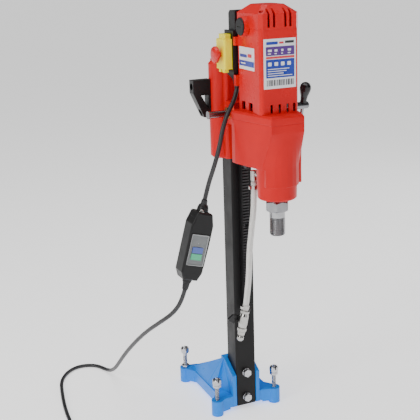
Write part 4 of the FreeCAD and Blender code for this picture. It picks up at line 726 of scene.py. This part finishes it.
def spindle_nose():
    """The spindle below its hexagon, with its helical thread and the water bore's mouth."""
    steps, per_pitch = 72, 12
    low, high = SPINDLE_TIP, HEX_BOTTOM
    rows = int((high - low) / THREAD_PITCH * per_pitch)
    verts, faces = [], []
    for j in range(rows + 1):
        z = low + (high - low) * j / rows
        for k in range(steps):
            angle = 2 * math.pi * k / steps
            wave = ((z - low) / THREAD_PITCH - k / steps) % 1.0
            tooth = min(1.0, max(0.0, (0.5 - abs(wave - 0.5)) * 2.6 - 0.25))
            radius = ROOT + (CREST - ROOT) * tooth
            lead = min(1.0, (z - low) / 0.0025)
            radius = min(radius, CREST - 0.0026 * (1 - lead))
            if z > high - PLAIN_NECK:
                radius = CREST
            verts.append(SPINDLE + Vector((radius * math.cos(angle), radius * math.sin(angle), z)))
    for j in range(rows):
        for k in range(steps):
            a, b = j * steps + k, j * steps + (k + 1) % steps
            faces.append((a, b, b + steps, a + steps))
    ring_start = len(verts)
    for z in (low, low + 0.02):
        for k in range(steps):
            angle = 2 * math.pi * k / steps
            verts.append(SPINDLE + Vector((BORE * math.cos(angle), BORE * math.sin(angle), z)))
    inner_ring = ring_start + steps
    for k in range(steps):
        n = (k + 1) % steps
        faces.append((n, k, ring_start + k, ring_start + n))
        faces.append((ring_start + n, ring_start + k, inner_ring + k, inner_ring + n))
    faces.append(tuple(reversed(range(inner_ring, inner_ring + steps))))
    return verts, faces


verts, faces = spindle_nose()
nose = make("spindle_thread", verts, faces, root_shade(), "spindle_body", False)


def hex_collar():
    """The spanner hexagon with its chamfered corners and the shoulder above it."""
    verts, faces = [], []
    steps = 72
    corner, half_way, shoulder = 0.0258, 0.0243, 0.0190
    levels = (
        (HEX_BOTTOM, HEX_HALF_FLATS), (HEX_BOTTOM + 0.0015, half_way), (HEX_BOTTOM + 0.003, corner),
        (HEX_TOP - 0.003, corner), (HEX_TOP - 0.0015, half_way), (HEX_TOP, HEX_HALF_FLATS),
        (HEX_TOP, shoulder), (SHOULDER_TOP, shoulder),
    )
    for z, limit in levels:
        for k in range(steps):
            angle = 2 * math.pi * k / steps
            local = angle % (math.pi / 3) - math.pi / 6
            flat = HEX_HALF_FLATS / math.cos(local)
            radius = min(limit, flat)
            verts.append(SPINDLE + Vector((radius * math.cos(angle), radius * math.sin(angle), z)))
    for j in range(len(levels) - 1):
        for k in range(steps):
            a, b = j * steps + k, j * steps + (k + 1) % steps
            faces.append((a, b, b + steps, a + steps))
    faces.append(tuple(reversed(range(steps))))
    faces.append(tuple(range(len(verts) - steps, len(verts))))
    return verts, faces


verts, faces = hex_collar()
make("spindle_hexagon", verts, faces, M["steel"], "spindle_body", False)
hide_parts("spindle")

# ---------------------------------------------------------------- moulded details


def gland_ribs(name, base, axis, near, far, start, end, body):
    """The ribbed rubber sleeve over a gland's tapered end."""
    profile = []
    ribs = 6
    groove = 0.0010
    step = (end - start) / ribs
    for k in range(ribs):
        a = start + (end - start) * k / ribs
        r = near + (far - near) * (k + 0.5) / ribs
        profile += [(r, a), (r, a + step * 0.62)]
        profile += [(r - groove, a + step * 0.70), (r - groove, a + step * 0.95)]
    verts, faces = revolve(profile, base, axis, 40)
    return make(name, verts, faces, M["cable"], body, False)


for name, way in (("trip_sleeve_top", TRIP_AXIS), ("trip_sleeve_bottom", -TRIP_AXIS)):
    gland_ribs(name, TRIP, way, 0.0084, 0.0064, 0.0825, 0.0995, "stand")
gland_ribs(
    "box_sleeve", at(-0.037, -0.090, 0.796), Vector((0, 0, -1)), 0.0080, 0.0062, 0.0070, 0.0155, "carriage"
)


FORWARD = Vector((0, -1, 0))
WINDOW_MIDDLE = TRIP - TRIP_AXIS * 0.007 + FORWARD * 0.020


def window_rim(name, outer, inner, low, high, material):
    """A raised rim round the trip switch's window; outer and inner are (half width, half height, corner)."""
    loops = []
    for (half_u, half_v, corner), lift in ((outer, low), (outer, high), (inner, high), (inner, low)):
        loop = rounded_plate(-half_u, half_u, -half_v, half_v, corner, 5)
        loops.append([WINDOW_MIDDLE + TRIP_ACROSS * u + TRIP_AXIS * v + FORWARD * lift for u, v in loop])
    count = len(loops[0])
    verts = [v for loop in loops for v in loop]
    faces = []
    for j in range(4):
        for k in range(count):
            a, b = j * count + k, j * count + (k + 1) % count
            c, d = ((j + 1) % 4) * count + (k + 1) % count, ((j + 1) % 4) * count + k
            faces.append((a, b, c, d))
    return make(name, verts, faces, material, "stand", False)


RIM = painted(
    "window_rim", (0.50, 0.51, 0.52), (0.40, 0.41, 0.42), rough=0.2, grain=1400, grain_depth=0.00003,
    coat=0.2, wear=0.2, worn=(0.5, 0.5, 0.5), bevel=0.0003, wave=0.1, dust=0.02,
)
window_rim("trip_bezel", (0.0218, 0.0358, 0.004), (0.0200, 0.0340, 0.002), -0.0005, 0.0012,
           M["black_plastic"])
window_rim("trip_lid_rim", (0.0199, 0.0339, 0.002), (0.0184, 0.0324, 0.0012), -0.0030, 0.0004,
           RIM)

# The nuts that hold the glands, and the clamp screw on the upper one; profiles are (radius, distance).
TOP_NUT = [(0.0122, 0.070), (0.0124, 0.0775), (0.0116, 0.0835), (0.0096, 0.0885), (0.0070, 0.0905)]
BOTTOM_NUT = [(0.0106, 0.070), (0.0106, 0.0760), (0.0098, 0.0815), (0.0080, 0.0845)]
CLAMP_SCREW = [
    (0.0040, 0.0090), (0.0040, 0.0120), (0.0052, 0.0122), (0.0052, 0.0150), (0.0040, 0.0160),
    (0.0012, 0.0162),
]
screw_way = (FORWARD - TRIP_ACROSS * 0.55).normalized()
for name, profile, base, way, steps, look in (
    ("trip_nut_top", TOP_NUT, TRIP, TRIP_AXIS, 40, "black_plastic"),
    ("trip_nut_bottom", BOTTOM_NUT, TRIP, -TRIP_AXIS, 40, "black_plastic"),
    ("trip_clamp_screw", CLAMP_SCREW, TRIP + TRIP_AXIS * 0.0745, screw_way, 28, "nickel"),
):
    verts, faces = revolve(profile, base, way, steps)
    make(name, verts, faces, M[look], "stand", False)

# ---------------------------------------------------------------- labels


def printed(name, colour, shade, worn, rough=0.28, coat=0.1):
    """Printed film with a faint grain."""
    return painted(name, colour, shade, rough=rough, grain=1200, grain_depth=0.00003, coat=coat, wear=0.2,
                   worn=worn, bevel=0.0002, wave=0.1)


WHITE = printed("label_white", (0.86, 0.87, 0.90), (0.80, 0.81, 0.85), (0.7, 0.7, 0.7), coat=0.4)
PURPLE = printed("label_violet", (0.10, 0.030, 0.24), (0.08, 0.022, 0.20), (0.5, 0.4, 0.5))
NAVY = printed("label_blue", (0.012, 0.045, 0.40), (0.010, 0.036, 0.34), (0.5, 0.5, 0.6))
PINK = printed("label_red", (0.74, 0.050, 0.070), (0.66, 0.040, 0.055), (0.7, 0.6, 0.6))
INK = printed("label_ink", (0.020, 0.020, 0.024), (0.030, 0.030, 0.034), (0.4, 0.4, 0.4), rough=0.3)
for name in ("front_label", "side_label"):
    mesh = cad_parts[name].data
    mesh.materials.clear()
    mesh.materials.append(WHITE)


# For each label: the direction across it, and the direction it faces.
FACING = {"front_label": (Vector((1, 0, 0)), FORWARD), "side_label": (FORWARD, Vector((-1, 0, 0)))}


def band(name, u0, u1, v0, v1, material, corner=0.0012, lift=0.00025):
    """A printed band on the label that its name starts with; u runs across the label and v up it."""
    node = "_".join(name.split("_")[:2])
    low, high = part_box(node)
    along, out = FACING[node]
    extent = high - low
    width = abs(extent.dot(along))
    start = Vector((low.x, low.y if along.x else high.y, low.z))
    shape = rounded_plate(u0 * width, u1 * width, v0 * extent.z, v1 * extent.z, corner, 3)
    return plate(name, shape, start, along, Vector((0, 0, 1)), out, lift, material, "carriage")


ON_BAND = 0.0004
band("front_label_top", 0.07, 0.95, 0.665, 0.845, PURPLE)
band("front_label_stripe", 0.07, 0.95, 0.605, 0.648, PINK)
band("front_label_panel", 0.07, 0.95, 0.22, 0.590, NAVY)
band("front_label_mark", 0.08, 0.44, 0.885, 0.945, NAVY, 0.0018)
band("front_label_mark_red", 0.48, 0.62, 0.895, 0.935, PINK)
band("front_label_mark_ink", 0.66, 0.94, 0.900, 0.950, INK, 0.0005)
for bar in range(16):
    u = 0.09 + 0.054 * bar
    wide = 0.020 + 0.018 * ((bar * 7) % 5) / 4
    band(f"front_label_bar_{bar}", u, u + wide, 0.060, 0.180, INK, 0.00015)
for column, width in enumerate((0.12, 0.09, 0.07, 0.10)):
    u = 0.13 + 0.205 * column
    band(f"front_label_sign_{column}", u, u + width, 0.745, 0.790, WHITE, 0.0008, ON_BAND)
    band(f"front_label_value_{column}", u, u + width * 0.8, 0.695, 0.715, WHITE, 0.0004, ON_BAND)
for column in range(4):
    u = 0.13 + 0.20 * column
    band(f"front_label_tile_{column}", u, u + 0.11, 0.460, 0.535, WHITE, 0.0012, ON_BAND)
for row in range(4):
    v = 0.255 + 0.045 * row
    band(f"front_label_line_{row}", 0.12, 0.88 - 0.09 * ((row * 3) % 4), v, v + 0.014, WHITE, 0.0003, ON_BAND)
band("side_label_stripe", 0.015, 0.985, 0.15, 0.40, NAVY, 0.0004)
band("side_label_stripe_line", 0.12, 0.42, 0.25, 0.30, WHITE, 0.0004, ON_BAND)
band("side_label_mark", 0.06, 0.52, 0.54, 0.68, NAVY, 0.0018)
band("side_label_mark_red", 0.58, 0.84, 0.56, 0.72, PINK, 0.0020)
